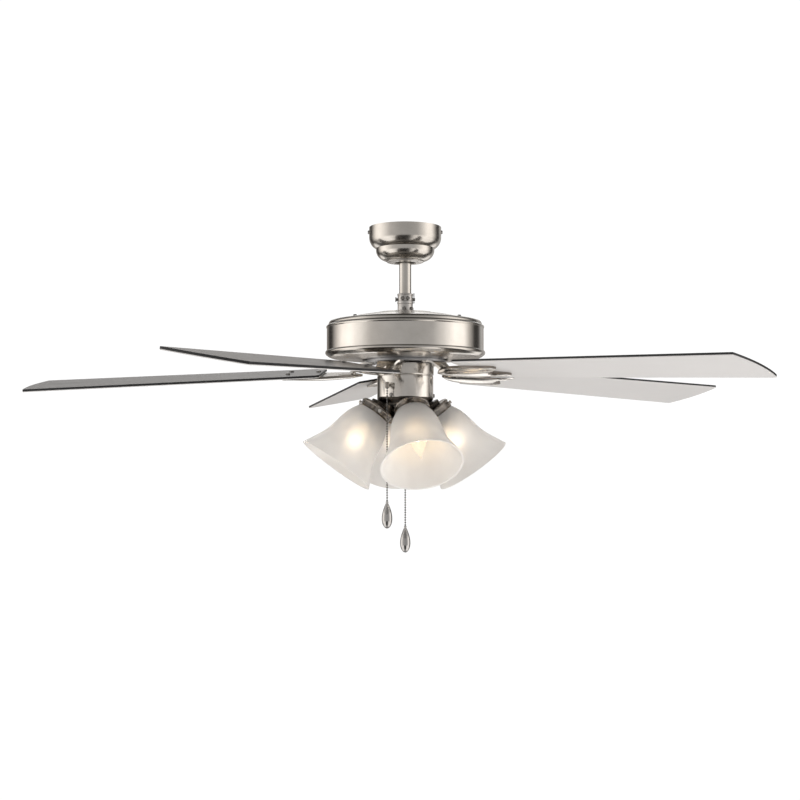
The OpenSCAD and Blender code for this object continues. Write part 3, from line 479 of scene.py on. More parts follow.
def strip_solid(xs, inner, outer, top, bottom, across):
    """A plate that is the same on both sides of y = 0.

    At each x it runs from |y| = inner to |y| = outer, and from top to bottom.
    """
    verts, faces = [], []
    n = len(across)
    for sign in (1, -1):
        base = len(verts)
        for x in xs:
            v, w = inner(x), outer(x)
            for s in across:
                y = v + (w - v) * s
                verts.append((x, sign * y, top(x, y)))
                verts.append((x, sign * y, bottom(x, y)))
        row = 2 * n
        for i in range(len(xs) - 1):
            a, b = base + i * row, base + (i + 1) * row
            for k in range(n - 1):
                faces.append((a + 2 * k, b + 2 * k, b + 2 * k + 2, a + 2 * k + 2))
                faces.append((a + 2 * k + 1, a + 2 * k + 3, b + 2 * k + 3, b + 2 * k + 1))
            e = 2 * (n - 1)
            faces.append((a + e, b + e, b + e + 1, a + e + 1))
            if inner(xs[i]) > 1e-6 or inner(xs[i + 1]) > 1e-6:
                faces.append((a, a + 1, b + 1, b))
        for a in (base, base + (len(xs) - 1) * row):
            for k in range(n - 1):
                faces.append((a + 2 * k, a + 2 * k + 2, a + 2 * k + 3, a + 2 * k + 1))
    return verts, faces


def interpolate(table, x):
    """The value at x of a table of (x, value) pairs, which holds its end values past both ends."""
    if x <= table[0][0]:
        return table[0][1]
    for (x0, y0), (x1, y1) in zip(table, table[1:]):
        if x <= x1:
            t = (x - x0) / (x1 - x0)
            return y0 + (y1 - y0) * t
    return table[-1][1]


def smooth_table(table, passes=3):
    """The table with its corners cut, so that a line through it runs smoothly."""
    for _ in range(passes):
        out = [table[0]]
        for a, b in zip(table, table[1:]):
            out.append((a[0] * 0.75 + b[0] * 0.25, a[1] * 0.75 + b[1] * 0.25))
            out.append((a[0] * 0.25 + b[0] * 0.75, a[1] * 0.25 + b[1] * 0.75))
        out.append(table[-1])
        table = out
    return table


# ---------------------------------------------------------------- camera

camera_data = bpy.data.cameras.new("camera")
camera_data.lens = 61.77
camera_data.sensor_width = 36.0
camera_data.clip_end = 50.0
camera = bpy.data.objects.new("camera", camera_data)
COLLECTION.objects.link(camera)
camera.location = (-0.0091, -2.3855, -0.4203)
camera.rotation_euler = (math.radians(90 + 2.84), 0.0, 0.0)
SCENE.camera = camera

# ---------------------------------------------------------------- pull chains


def fob_profile():
    """The teardrop's line, from the chain's end down."""
    r = FOB_R
    points = [(0.0, 0.0), (1.7, 0.0), (2.3, -0.8), (2.4, -1.6), (2.0, -3.0)]
    for k in range(1, 13):
        wide = 2.0 + (r - 2.0) * math.sin(math.pi / 2 * k / 12) ** 0.95
        points.append((wide, -3.0 - (FOB_SHOULDER * FOB_LENGTH - 3.0) * k / 12))
    low = -FOB_SHOULDER * FOB_LENGTH
    points += [
        (r * math.cos(math.pi / 2 * k / 9), low - FOB_TIP * FOB_LENGTH * math.sin(math.pi / 2 * k / 9))
        for k in range(1, 10)
    ]
    points[-1] = (0.0, -FOB_LENGTH)
    return points


def pull(name, at, top, length, body, chain_node, fob_node):
    """A hanging ball chain with its fob."""
    beads = Build()
    r = CHAIN_D / 2
    ball = [(r * math.sin(math.pi * k / 8), r * math.cos(math.pi * k / 8)) for k in range(9)]
    ball[0], ball[-1] = (0.0, r), (0.0, -r)
    count = int(length / CHAIN_PITCH)
    gap = (length - 2 * r) / count
    for k in range(count + 1):
        z = top - r - k * gap
        beads.add(*lathe(ball, 14, closed=False)[:2], matrix=Matrix.Translation((*at, z)))
        if k < count:
            link = [(*at, z - r * 0.8), (*at, z - gap + r * 0.8)]
            beads.add(*tube(link, 0.55, 6))
    chain = beads.piece(name + "_chain_balls", [M["beads"]], body, replaces=[chain_node], slot="chain_nickel")
    fob = Build().add(*lathe(fob_profile(), 64, closed=False), matrix=Matrix.Translation((*at, top - length)))
    fob = fob.piece(
        name + "_teardrop_fob", [M["fob"]], body, replaces=[fob_node], slot="chain_nickel", sharp=50
    )


pull("fan", FAN_CHAIN_AT, FAN_CHAIN_TOP, FAN_CHAIN_LENGTH, "fan_pull", "fan_chain", "fan_fob")
pull("light", (0.0, 0.0), LIGHT_CHAIN_TOP, LIGHT_CHAIN_LENGTH, "light_pull", "light_chain", "light_fob")

# ---------------------------------------------------------------- canopy, trim ring and coupling


def turned(name, line, thickness, material, body, nodes, slot, segments=160):
    """A turned piece from its outer line and sheet thickness, or from a closed line at thickness 0."""
    loop = sheet_loop(line, thickness) if thickness else line
    build = Build().add(*lathe(loop, segments))
    build.piece(name, [M[material]], body, replaces=nodes, slot=slot, sharp=32)


canopy_line = (
    [(63.0, 0.0), (63.0, -10.0)]
    + arc((45, -17.5), 18, -20.5, 0, 63, 14)
    + [(51.9, -36.3), (51.0, -37.2)]
    + arc((29, -40), 22, -19.3, 0, 80, 16)
)
turned("canopy_bowl", canopy_line, CANOPY_SHEET, "nickel", "ceiling_mount", ["canopy"], "nickel")

trim_line = fillet(
    [
        (31.2, -58.2), (32.0, -59.2, 0.4), (32.4, -59.9, 0.3), (32.4, -60.6, 0.4), (31.4, -61.3, 0.6),
        (27.0, -61.9, 2.0), (18.7, -62.3),
    ]
)
turned("canopy_trim_ring", trim_line, CANOPY_SHEET, "pale", "ceiling_mount", ["canopy_trim"], "nickel_cast")

rod_line = [(7.9, -12.0), (10.5, -12.0), (10.5, -138.3), (7.9, -138.3)]
turned("rod", rod_line, 0, "nickel", "fan", ["downrod"], "nickel", 96)

coupling_line = fillet(
    [
        (10.55, -116.3), (13.0, -116.3, 0.6), (13.8, -117.1, 0.6), (13.8, -119.2, 0.4), (13.2, -119.8, 0.4),
        (13.2, -129.4, 0.4), (13.8, -130.2, 0.4), (13.8, -134.0, 0.4), (13.2, -134.8, 0.4),
        (13.3, -146.6, 0.4), (13.8, -147.6, 0.4), (13.8, -150.8), (38.0, -150.8), (38.0, -155.3),
        (8.05, -155.3), (8.05, -138.4), (10.55, -138.4),
    ]
)
turned("coupling_casting", coupling_line, 0, "rough_cast", "fan", ["coupling"], "nickel_cast", 96)

# ---------------------------------------------------------------- motor housing

top_line = fillet(
    [
        (14.1, -149.3), (46.4, -149.3, 1.5), (50.0, -150.5, 2.0), (90.0, -157.6, 8.0), (117.5, -164.0, 3.0),
        (121.0, -164.8, 1.5), (129.0, -164.8, 2.0), (131.8, -166.0, 1.5), (133.4, -168.8, 1.5),
        (133.6, -171.6, 1.0), (134.6, -173.0, 0.6), (137.0, -173.6, 0.9), (137.6, -175.2, 0.9),
        (137.4, -176.8, 0.7), (136.6, -177.8, 0.5), (136.6, -178.8),
    ]
)
turned("cover_top", top_line, HOUSING_SHEET, "nickel", "fan", ["top_cover"], "nickel", 256)

band_line = [(136.6, -178.8), (136.6, -216.1), (135.1, -216.1), (135.1, -178.8)]
turned("band", band_line, 0, "band", "fan", ["housing_band"], "nickel", 256)

base_line = fillet(
    [
        (136.6, -216.1), (136.6, -217.0, 0.4), (138.6, -217.9, 0.7), (139.2, -219.5, 1.0),
        (139.2, -221.8, 1.0), (138.2, -223.6, 0.8), (136.2, -224.9, 0.6), (134.4, -226.6, 1.0),
        (131.0, -228.2, 1.5), (125.6, -229.2, 1.5), (90.0, -231.6, 4.0), (77.0, -232.4, 1.0),
        (75.0, -232.7),
    ]
)
turned("cover_bottom", base_line, HOUSING_SHEET, "nickel", "fan", ["bottom_cover"], "nickel", 256)

# ---------------------------------------------------------------- cup, switch housing and light fitter

cup_line = fillet(
    [
        (8.05, -238.8), (48.6, -238.8, 0.6), (49.5, -239.8, 0.8), (49.5, -258.4, 0.8), (48.8, -259.3),
        (47.3, -259.3), (47.3, -270.3), (45.8, -270.3), (45.8, -257.8), (48.0, -257.8), (48.0, -240.3),
        (8.05, -240.3),
    ]
)
turned("cup", cup_line, 0, "nickel", "fan", ["switch_cup"], "nickel", 128)

housing_line = fillet(
    [
        (47.6, -260.8), (48.2, -260.8, 0.3), (48.8, -261.4, 0.5), (48.8, -297.9, 0.6), (48.1, -298.8, 0.4),
        (47.6, -298.8),
    ]
)
turned("switch_drum", housing_line, 0, "band", "fan", ["switch_housing"], "nickel", 160)

fitter_line = fillet(
    [
        (48.8, -298.9), (48.8, -300.6, 0.5), (46.8, -304.3, 1.5), (39.8, -308.8, 4.0), (27.8, -311.3, 4.0),
        (5.4, -311.3),
    ]
)
fitter = Build().add(*lathe(sheet_loop(fitter_line, HOUSING_SHEET), 128))
for i in range(1, 5):
    arm = fillet(
        [(6.0, -34.0), (9.0, -34.0, 1.5), (9.0, -27.6, 1.0), (7.6, -26.4, 0.6), (7.6, -21.0), (6.0, -21.0)]
    )
    fitter.add(*lathe(arm, 48), matrix=lamp_frame(i))
# The fitter pan and its arms are nickel, and the black metal on them is painted shade beneath the drum.
fitter.piece("fitter_pan", [M["dark_metal"]], "fan", replaces=["light_fitter"], slot="nickel")

cap_line = fillet(
    [
        (2.2, -313.5), (5.5, -313.5), (6.0, -311.4), (19.8, -311.4, 0.4), (20.4, -312.6, 0.8),
        (19.0, -315.2, 1.0), (13.0, -319.2, 2.0), (7.2, -321.1, 1.0), (5.4, -323.2, 0.8),
        (6.2, -325.2, 0.8), (5.2, -327.7, 0.5), (2.2, -328.3),
    ]
)
turned("fitter_cap", cap_line, 0, "nickel", "fan", ["bottom_cap"], "nickel", 96)

# ---------------------------------------------------------------- speed switch, bushing and chain guide

SPEED_TURN, SPEED_Z, GUIDE_OUT = 240.0, -279.1, 62.0


def speed_switch():
    """The switch's body inside the drum, its bushing and nut through the wall, and the eye for the chain."""
    at = spin_z(SPEED_TURN) @ Matrix.Translation((0, 0, SPEED_Z))
    along = at @ Matrix.Rotation(math.radians(90), 4, "Y")
    body = [(16.0, -13.0), (43.0, -13.0), (43.0, 13.0), (16.0, 13.0)]
    verts, faces, _ = prism(body, [(10, 0.8), (9.2, 0), (-9.2, 0), (-10, 0.8)])
    bushing = fillet(
        [
            (0.0, 43.0), (3.5, 43.0), (3.5, 49.0), (5.6, 49.0, 0.4), (5.6, 51.1, 0.6), (4.2, 51.3),
            (3.5, 51.3), (3.5, 53.4), (3.0, 53.8), (0.0, 53.8),
        ]
    )
    arm = [(0.0, 53.8), (2.4, 53.8), (2.4, 59.4), (0.0, 59.4)]
    eye = fillet(
        [(2.2, 4.5), (2.6, 5.5, 0.3), (3.4, 5.1, 0.3), (3.4, -5.1, 0.3), (2.6, -5.5, 0.3), (2.2, -4.5)]
    )
    made = Build().add(verts, faces, matrix=at)
    made.add(*lathe(bushing, 32, closed=False), matrix=along, material=1)
    # The arm and eye get the darker nickel, which is painted shade.
    made.add(*lathe(arm, 24, closed=False), matrix=along, material=2)
    made.add(*lathe(eye, 32), matrix=at @ Matrix.Translation((GUIDE_OUT, 0, 0)), material=2)
    made.piece(
        "pull_switch",
        [M["black"], M["nickel"], M["shaded_nickel"]],
        "fan",
        replaces=["speed_switch"],
        slot="socket_black",
    )


speed_switch()

# ---------------------------------------------------------------- sockets, holders, shades and bulbs

shade_curve = smooth_table(
    [
        (-10.5, 28.0), (-1.0, 28.0), (4.0, 30.2), (9.0, 33.4), (17.0, 37.6), (27.0, 41.2), (39.0, 43.8),
        (51.0, 45.8), (63.0, 48.0), (77.0, 52.4), (90.0, 58.8), (103.0, 65.2), (112.0, 69.8),
    ],
    2,
)
shade_line = [(r, s) for s, r in shade_curve]
SHADE_WALL = 3.0
shade_inside = [(r - SHADE_WALL, s) for r, s in reversed(shade_line[:-1])]
shade_loop = shade_line + [(69.2, 112.0), (68.0, 111.6)] + shade_inside

bulb_line = [
    (0.0, 22.0), (9.0, 22.2), (12.0, 23.6), (14.0, 27.0), (16.2, 32.0), (17.2, 38.0), (17.5, 44.5),
    (17.0, 52.0), (15.4, 60.0), (12.8, 68.5), (9.6, 77.0), (6.4, 85.0), (3.8, 91.5), (1.9, 96.2),
    (0.8, 97.9), (0.0, 98.1),
]
bulb_smooth = [(r, s) for s, r in smooth_table([(s, r) for r, s in bulb_line], 1)]
bulb_smooth[0], bulb_smooth[-1] = (0.0, 22.0), (0.0, 98.1)


def flutes(radius, low, high, count=26, depth=0.9):
    """A closed fluted cup along Z."""
    per = 6
    n = count * per
    verts, faces = [], []
    levels = [(low, 0.82), (low + 1.2, 1.0), (high - 1.2, 1.0), (high, 0.9)]
    for z, k in levels:
        for j in range(n):
            w = math.tau * j / n
            r = (radius - depth * (0.5 - 0.5 * math.cos(w * count))) * k
            verts.append((r * math.cos(w), r * math.sin(w), z))
    for i in range(len(levels) - 1):
        for j in range(n):
            m = (j + 1) % n
            faces.append((i * n + j, i * n + m, (i + 1) * n + m, (i + 1) * n + j))
    faces.append(tuple(range(n)))
    faces.append(tuple((len(levels) - 1) * n + j for j in range(n)))
    return verts, faces


holder_line = fillet(
    [
        (14.6, -13.0), (28.2, -13.0, 1.5), (30.2, -11.0, 1.2), (30.4, -8.4, 0.4), (29.6, -7.6, 0.4),
        (29.6, -0.6, 0.4), (30.4, 0.4, 0.4), (31.0, 2.0), (29.8, 2.0), (29.0, 0.6), (29.0, -10.4),
        (27.0, -11.8), (14.6, -11.8),
    ]
)


def filament_points():
    """A looped wire in the bulb, up one side and down the other with a zigzag between."""
    points = [(-3.0, 0.0, 28.0), (-3.4, 0.0, 40.0), (-4.4, 0.0, 50.0)]
    for k in range(9):
        w = math.pi * k / 8
        points.append((-4.4 * math.cos(w), 1.1 * math.sin(w * 4), 50.0 + 12.0 * math.sin(w)))
    points += [(4.4, 0.0, 50.0), (3.4, 0.0, 40.0), (3.0, 0.0, 28.0)]
    return points


sockets, holders = Build(), Build()
for i in range(1, 5):
    at = lamp_frame(i)
    sockets.add(*flutes(17.0, -21.0, -13.0), matrix=at)
    sleeve = fillet(
        [(13.3, 2.0), (13.3, 24.0), (15.7, 24.0, 0.5), (16.5, 23.0, 0.6), (16.5, -11.8), (13.3, -11.8)]
    )
    sockets.add(*lathe(sleeve, 48), matrix=at)
    holders.add(*lathe(holder_line, 96), matrix=at)
    Build().add(*lathe(shade_loop, 128), matrix=at).piece(
        f"bell_shade_{i}", [M["shade"]], "fan", replaces=[f"shade_{i}"], slot="frosted_glass", sharp=50
    )
    Build().add(*lathe(bulb_smooth, 48, closed=False), matrix=at).piece(
        f"candle_bulb_{i}", [M["bulb"]], "fan", replaces=[f"bulb_{i}"], slot="bulb_glass", sharp=60
    )
    wire = Build()
    wire.add(*tube(filament_points(), 0.45, 6), matrix=at)
    wire.piece(f"bulb_filament_{i}", [M["filament"]], "fan", slot="bulb_glass", sharp=80)
    base = Build()
    threads = [(0.0, 2.4), (4.0, 2.4), (5.0, 4.4), (12.0, 6.4)]
    threads += [(13.0 - 0.7 * (k % 2), 7.4 + k * 1.6) for k in range(9)]
    threads += [(12.6, 21.8), (0.0, 21.8)]
    base.add(*lathe(threads, 48, closed=False), matrix=at)
    base.piece(f"bulb_base_{i}", [M["brass"]], "fan", slot="bulb_glass", sharp=25)
sockets.piece("socket_cups", [M["dark_metal"]], "fan", replaces=["lamp_sockets"], slot="socket_black")
# The holder bands are nickel painted darker, as painted dark reflections.
holders.piece("holder_bands", [M["shaded_nickel"]], "fan", replaces=["shade_holders"], slot="nickel")

# ---------------------------------------------------------------- blades

TIP_X, ROOT_X = 551.0, 24.5
TIP_HALF, ROOT_HALF = 68.9, 55.45
CROWN = 8.0
TIP_CORNER = 1.5


def blade_outline():
    """The blade's outline in its own frame, counter-clockwise."""
    bow_r = (TIP_HALF**2 + CROWN**2) / (2 * CROWN)
    half = arc((ROOT_X + 7, ROOT_HALF - 7), 7, 7, 180, 96, 6)
    half += arc((TIP_X - CROWN - TIP_CORNER, TIP_HALF - TIP_CORNER), TIP_CORNER, TIP_CORNER, 90, 25, 4)
    bow = math.degrees(math.asin((TIP_HALF - 2 * TIP_CORNER) / bow_r))
    for k in range(13):
        w = math.radians(bow * (1 - k / 12))
        half.append((TIP_X - bow_r + bow_r * math.cos(w), bow_r * math.sin(w)))
    whole = half + [(x, -y) for x, y in reversed(half[:-1])]
    return list(reversed(whole))


def add_blade(i):
    """Blade i: dark top, silver underside and dark edge."""
    t = BLADE_T / 2
    outline = blade_outline()
    layers = [(t, 0.9), (t - 0.35, 0.25), (t - 0.9, 0.0), (-t + 1.3, 0.0), (-t + 0.45, 0.2), (-t, 0.9)]
    verts, faces, (top, bottom) = prism(outline, layers)
    index = [2] * len(faces)
    index[top], index[bottom] = 0, 1
    n = len(outline)
    index[3 * n : 5 * n] = [1] * (2 * n)  # the lower bevel belongs to the underside
    uvs = [(v[0] * MM + i * 0.7, v[1] * MM + i * 0.31) for v in verts]
    piece(
        f"board_{i}", verts, faces, [M["blade_top"], M["blade_under"], M["blade_edge"]], "rotor",
        replaces=[f"blade_{i}"], slot="blade_board", place=blade_frame(i), uvs=uvs, index=index, sharp=28,
    )


# ---------------------------------------------------------------- blade irons

LEAF_IN, LEAF_LENGTH, FORK_AT = -45.0, 139.5, 64.0
ARM_IN, ARM_LENGTH = 54.0, 62.0
LEAF_HALF = smooth_table(
    [
        (-45.0, 0.4), (-38.0, 8.0), (-27.0, 17.0), (-12.0, 26.0), (6.0, 31.2), (28.0, 32.8), (50.0, 31.8),
        (68.0, 29.8), (82.0, 29.8), (92.0, 27.5), (94.5, 23.0),
    ],
    2,
)
LEAF_FORK = [(-45.0, 0.0), (64.0, 0.0), (67.0, 5.0), (72.0, 8.0), (82.0, 12.5), (90.0, 15.5), (94.5, 20.0)]
LEAF_DEPTH = smooth_table(
    [
        (-45.0, 8.6), (-24.0, 11.6), (11.0, 12.4), (30.0, 12.4), (55.0, 11.2), (80.0, 8.8), (89.0, 7.4),
        (94.5, 6.2),
    ],
    2,
)
LEAF_TOP = [(-45.0, -4.95), (-22.5, -2.55), (95.0, -2.55)]


GROOVES = (0.34, 0.68)  # shares of the leaf's half width
GROOVE_STEPS = (-0.06, -0.035, -0.018, 0.018, 0.035, 0.06)
GROOVE_DEEP, GROOVE_FLOOR, GROOVE_FLANK = 1.3, 0.018, 0.017
LEAF_RIM, LEAF_WALL = 6.8, 0.8


def leaf_bottom(x, y):
    """Height of the leaf's underside: a smooth belly with two sunk lines each side along its outline."""
    w = max(interpolate(LEAF_HALF, x), 0.4)
    s = min(abs(y) / w, 1.0)
    deep = interpolate(LEAF_DEPTH, x)
    body = deep - (deep - min(deep, LEAF_RIM)) * s**2.4
    fade = min(1.0, max(0.0, (x + 44) / 14)) * min(1.0, max(0.0, (92 - x) / 10))
    cut = sum(max(0.0, 1.0 - max(0.0, abs(s - g) - GROOVE_FLOOR) / GROOVE_FLANK) for g in GROOVES)
    body -= GROOVE_DEEP * fade * cut
    return -max(body, LEAF_WALL - interpolate(LEAF_TOP, x))


ARM_HALF = smooth_table(
    [(54.0, 20.0), (57.0, 22.0), (70.0, 22.0), (78.0, 18.0), (86.0, 15.6), (100.0, 14.0), (116.0, 13.0)], 2
)
ARM_OPENING = [(54.0, 0.0), (79.0, 0.0), (102.0, 7.4), (103.4, 0.0), (120.0, 0.0)]
ARM_TOP = [(54.0, -236.9), (70.0, -236.9), (76.0, -238.4), (99.0, -255.8), (116.0, -256.8)]
ARM_LOW = [(54.0, -239.8), (69.0, -239.8), (74.0, -241.8), (97.0, -261.4), (116.0, -263.4)]


# Painted shade: the leaf's steep faces, in its grooves and along its sides, get the darker nickel.
STEEP = 0.74  # faces less level than this are the darker metal


def slope_up(verts, face):
    """How nearly level a face is: 1 for a level one and 0 for an upright one."""
    a, b, c = (Vector(verts[k]) for k in face[:3])
    normal = (b - a).cross(c - a)
    if len(face) > 3:
        normal += (c - a).cross(Vector(verts[face[3]]) - a)
    return abs(normal.normalized()[2]) if normal.length > 1e-9 else 1.0


def add_iron(i):
    """Blade iron i: the leaf under the blade and the arm down from the flywheel, with its opening."""
    iron = Build()
    xs = [LEAF_IN + LEAF_LENGTH * k / 93 for k in range(94)] + [FORK_AT]
    xs = sorted(set(round(x, 3) for x in xs))
    across = sorted({k / 16 for k in range(17)} | {g + d for g in GROOVES for d in GROOVE_STEPS})
    verts, faces = strip_solid(
        xs,
        lambda x: interpolate(LEAF_FORK, x),
        lambda x: interpolate(LEAF_HALF, x),
        lambda x, y: interpolate(LEAF_TOP, x),
        leaf_bottom,
        across,
    )
    # Steep faces take the darker nickel as painted shade, and level ones keep the cast nickel.
    shaded_steep_faces = [f for f in faces if slope_up(verts, f) < STEEP]
    flat = [f for f in faces if slope_up(verts, f) >= STEEP]
    iron.add(verts, flat, matrix=blade_frame(i))
    iron.add(verts, shaded_steep_faces, matrix=blade_frame(i), material=1)
    arm_xs = sorted(set([ARM_IN + k * ARM_LENGTH / 40 for k in range(41)] + [79.0, 102.0, 103.4]))

    def arm_low(x, y):
        w = interpolate(ARM_HALF, x)
        return interpolate(ARM_LOW, x) + 1.4 * (abs(y) / w) ** 3 * min(1.0, max(0.0, (x - 70) / 10))

    verts, faces = strip_solid(
        arm_xs,
        lambda x: interpolate(ARM_OPENING, x),
        lambda x: interpolate(ARM_HALF, x),
        lambda x, y: interpolate(ARM_TOP, x),
        arm_low,
        [k / 10 for k in range(11)],
    )
    iron.add(verts, faces, matrix=spin_z(BLADE_TURN + BLADE_STEP * (i - 1)))
    iron.piece(
        f"cast_iron_arm_{i}",
        [M["cast"], M["shaded_nickel"]],
        "rotor",
        replaces=[f"blade_iron_{i}"],
        slot="nickel_cast",
        sharp=40,
    )


for i in range(1, 6):
    add_blade(i)
    add_iron(i)

# ---------------------------------------------------------------- CAD nodes kept, with better materials

KEPT = {
    "zinc": ["hanger_bracket"],
    "nylon": ["hanger_ball"],
    "screw": ["canopy_screws", "cross_pins", "machine_screws", "housing_bolts", "iron_screws", "blade_screws"],
    "nickel": ["thumb_screws", "shaft_nuts"],
    "steel": ["motor_shaft", "bearing_inner_rings", "bearing_outer_rings", "bearing_balls", "rotor_ring"],
    "core": ["stator_core"],
    "copper": ["stator_windings"],
    "diecast": ["rotor_top_shell", "rotor_bottom_shell"],
    "black": ["light_switch", "capacitor", "reverse_switch", "reverse_slider"],
    "wires": ["supply_leads"],
}
for material, names in KEPT.items():
    for name in names:
        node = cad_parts[name]
        node.data.materials.clear()
        node.data.materials.append(M[material])

# ---------------------------------------------------------------- light, floor and backdrop


AIM = Vector((0, 0, -0.25))  # the lights point at the motor housing
LAMP_WATTS, LAMP_COLOUR, LAMP_SOFT = 0.036, (1.0, 0.76, 0.50), 0.014


def area_light(name, at, size, power, colour):
    data = bpy.data.lights.new(name, "AREA")
    data.shape, data.size, data.energy, data.color = "DISK", size, power, colour
    made = bpy.data.objects.new(name, data)
    COLLECTION.objects.link(made)
    made.location = at
    made.visible_glossy = False
    made.rotation_euler = (AIM - Vector(at)).to_track_quat("-Z", "Y").to_euler()


area_light("key", (-1.8, -2.0, 1.6), 1.2, 30.0, (1.0, 0.97, 0.93))
area_light("fill", (2.0, -1.6, 0.8), 1.4, 16.0, (1.0, 0.98, 0.96))
area_light("under", (0.6, -1.4, -2.2), 1.6, 30.0, (1.0, 0.99, 0.98))
for i in range(1, 5):
    glow = bpy.data.lights.new(f"lamp_{i}", "POINT")
    glow.energy, glow.color, glow.shadow_soft_size = LAMP_WATTS, LAMP_COLOUR, LAMP_SOFT
    lamp = bpy.data.objects.new(f"lamp_{i}", glow)
    COLLECTION.objects.link(lamp)
    lamp.location = (lamp_frame(i) @ Vector((0, 0, LAMP_LIGHT))) * MM

floor_mesh = bpy.data.meshes.new("floor")
floor_build = bmesh.new()
bmesh.ops.create_circle(floor_build, cap_ends=True, segments=96, radius=1.0)
floor_build.to_mesh(floor_mesh)
floor_build.free()
floor = bpy.data.objects.new("floor", floor_mesh)
COLLECTION.objects.link(floor)
floor.location = (0, 0, -2.4)
floor_material = Nodes("pale_floor")
floor_material.set(Roughness=0.8)
speckle = floor_material.noise(floor_material.place(), 30.0, 4.0)
floor_material.link(
    floor_material.ramp(speckle, [(0.3, (0.80, 0.80, 0.80)), (0.7, (0.86, 0.86, 0.86))]),
    floor_material.shader.inputs["Base Color"],
)
floor_mesh.materials.append(floor_material.material)


# The room around the object. Bearing in degrees from the camera's side, grey, and how warm.
WALLS = [
    (-180, 0.34, 0.08), (-158, 0.28, 0.08), (-146, 0.03, 0.05), (-134, 0.06, 0.05), (-120, 0.75, 0.05),
    (-106, 1.50, 0.05), (-88, 1.65, 0.04), (-70, 1.20, 0.04), (-50, 0.66, 0.03), (-30, 0.60, 0.02),
    (-12, 0.52, 0.01), (14, 0.50, 0.01), (40, 0.56, 0.02), (58, 1.05, 0.03), (76, 1.70, 0.04),
    (94, 1.60, 0.04), (106, 0.66, 0.05), (120, 0.04, 0.05), (134, 0.06, 0.05), (146, 0.55, 0.02),
    (180, 0.34, 0.08),
]
LOW_WALLS = [
    (-180, 1.45, 0.02), (-150, 1.30, 0.03), (-135, 0.10, 0.05), (-120, 0.25, 0.05), (-105, 1.30, 0.04),
    (-60, 1.60, 0.03), (-36, 1.00, 0.03), (-20, 0.04, 0.05), (14, 0.03, 0.05), (32, 1.10, 0.03),
    (60, 1.70, 0.03), (105, 1.40, 0.04), (120, 0.20, 0.05), (135, 0.10, 0.05), (150, 1.30, 0.03),
    (180, 1.45, 0.02),
]
HIGH_WALLS = [
    (-180, 1.60, 0.0), (-160, 1.50, 0.0), (-145, 0.10, 0.02), (-110, 0.30, 0.02), (-80, 1.00, 0.03),
    (-40, 0.45, 0.02), (0, 0.25, 0.02), (40, 0.45, 0.02), (80, 1.00, 0.03), (110, 0.30, 0.02),
    (145, 0.10, 0.02), (160, 1.50, 0.0), (180, 1.60, 0.0),
]
DEEP = [
    (-180, 0.05, 0.02), (-130, 0.08, 0.02), (-112, 1.20, 0.04), (-60, 1.50, 0.03), (-36, 0.80, 0.03),
    (-22, 0.03, 0.05), (16, 0.03, 0.05), (32, 1.00, 0.03), (60, 1.60, 0.03), (112, 1.30, 0.04),
    (130, 0.08, 0.02), (180, 0.05, 0.02),
]
TOP = [(-180, 0.05, 0.02), (-90, 0.12, 0.02), (0, 0.05, 0.02), (90, 0.12, 0.02), (180, 0.05, 0.02)]
WHITE = 1.05  # what the camera sees


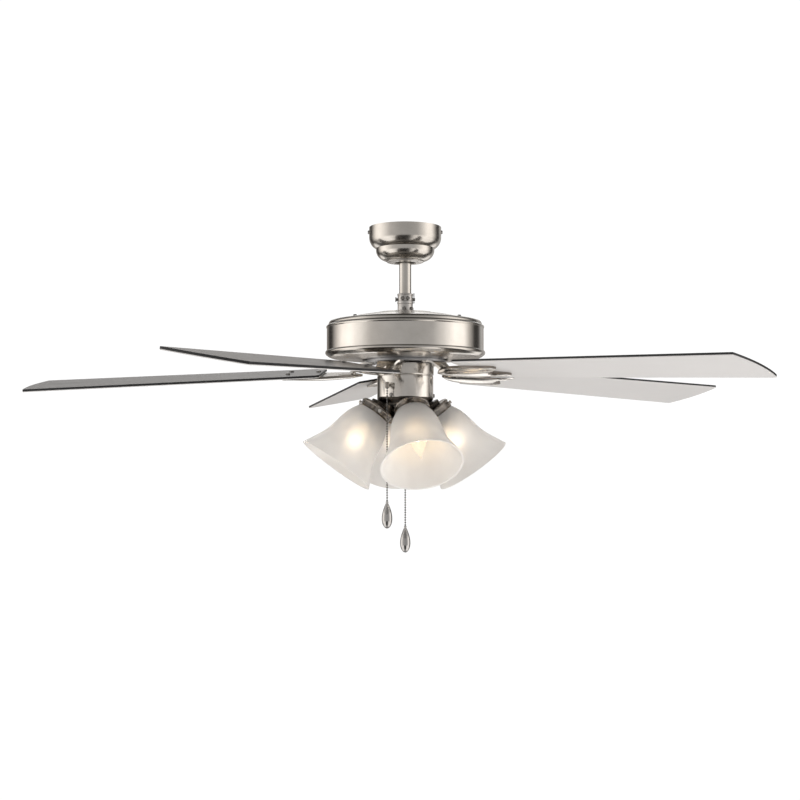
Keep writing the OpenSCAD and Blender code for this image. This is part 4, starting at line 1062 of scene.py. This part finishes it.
def studio():
    """White to the camera. To the object, a room with two bright walls, dark corners and a grey front."""
    world = bpy.data.worlds.new("studio")
    SCENE.world = world
    world.use_nodes = True
    tree = world.node_tree
    tree.nodes.clear()
    link = tree.links.new

    def add(kind, **values):
        made = tree.nodes.new(kind)
        for key, value in values.items():
            setattr(made, key, value)
        return made

    def ramp(value, stops):
        made = add("ShaderNodeValToRGB")
        while len(made.color_ramp.elements) < len(stops):
            made.color_ramp.elements.new(0.5)
        for element, (degrees, grey, warm) in zip(made.color_ramp.elements, stops):
            element.position = 0.5 + degrees / 360
            element.color = (grey * (1 + warm), grey, grey * (1 - warm), 1)
        link(value, made.inputs["Fac"])
        return made.outputs["Color"]

    def blend(low, high, a, b):
        """Colour a where the height is past low, and b where it is past high."""
        share = add("ShaderNodeMapRange")
        share.inputs["From Min"].default_value = low
        share.inputs["From Max"].default_value = high
        link(split.outputs["Z"], share.inputs["Value"])
        mix = add("ShaderNodeMix", data_type="RGBA")
        link(share.outputs["Result"], mix.inputs["Factor"])
        link(a, mix.inputs["A"])
        link(b, mix.inputs["B"])
        return mix.outputs["Result"]

    place = add("ShaderNodeTexCoord")
    split = add("ShaderNodeSeparateXYZ")
    link(place.outputs["Generated"], split.inputs[0])
    flip = add("ShaderNodeMath", operation="MULTIPLY")
    flip.inputs[1].default_value = -1.0
    link(split.outputs["Y"], flip.inputs[0])
    turn = add("ShaderNodeMath", operation="ARCTAN2")
    link(split.outputs["X"], turn.inputs[0])
    link(flip.outputs[0], turn.inputs[1])
    share = add("ShaderNodeMath", operation="MULTIPLY_ADD")
    share.inputs[1].default_value = 0.5 / math.pi
    share.inputs[2].default_value = 0.5
    link(turn.outputs[0], share.inputs[0])
    around = share.outputs[0]
    walls = ramp(around, WALLS)
    low = ramp(around, LOW_WALLS)
    high = ramp(around, HIGH_WALLS)
    # The blends are at these heights of the ray: the sine of its angle above level.
    middle = blend(0.28, 0.36, blend(-0.26, -0.34, walls, low), high)
    colour = blend(-0.47, -0.56, blend(0.60, 0.80, middle, ramp(around, TOP)), ramp(around, DEEP))
    room = add("ShaderNodeBackground")
    link(colour, room.inputs["Color"])
    white = add("ShaderNodeBackground")
    white.inputs["Color"].default_value = (1, 1, 1, 1)
    white.inputs["Strength"].default_value = WHITE
    seen = add("ShaderNodeLightPath")
    choose = add("ShaderNodeMixShader")
    link(seen.outputs["Is Camera Ray"], choose.inputs["Fac"])
    link(room.outputs[0], choose.inputs[1])
    link(white.outputs[0], choose.inputs[2])
    output = add("ShaderNodeOutputWorld")
    link(choose.outputs[0], output.inputs["Surface"])


studio()
SCENE.view_settings.view_transform = "Standard"
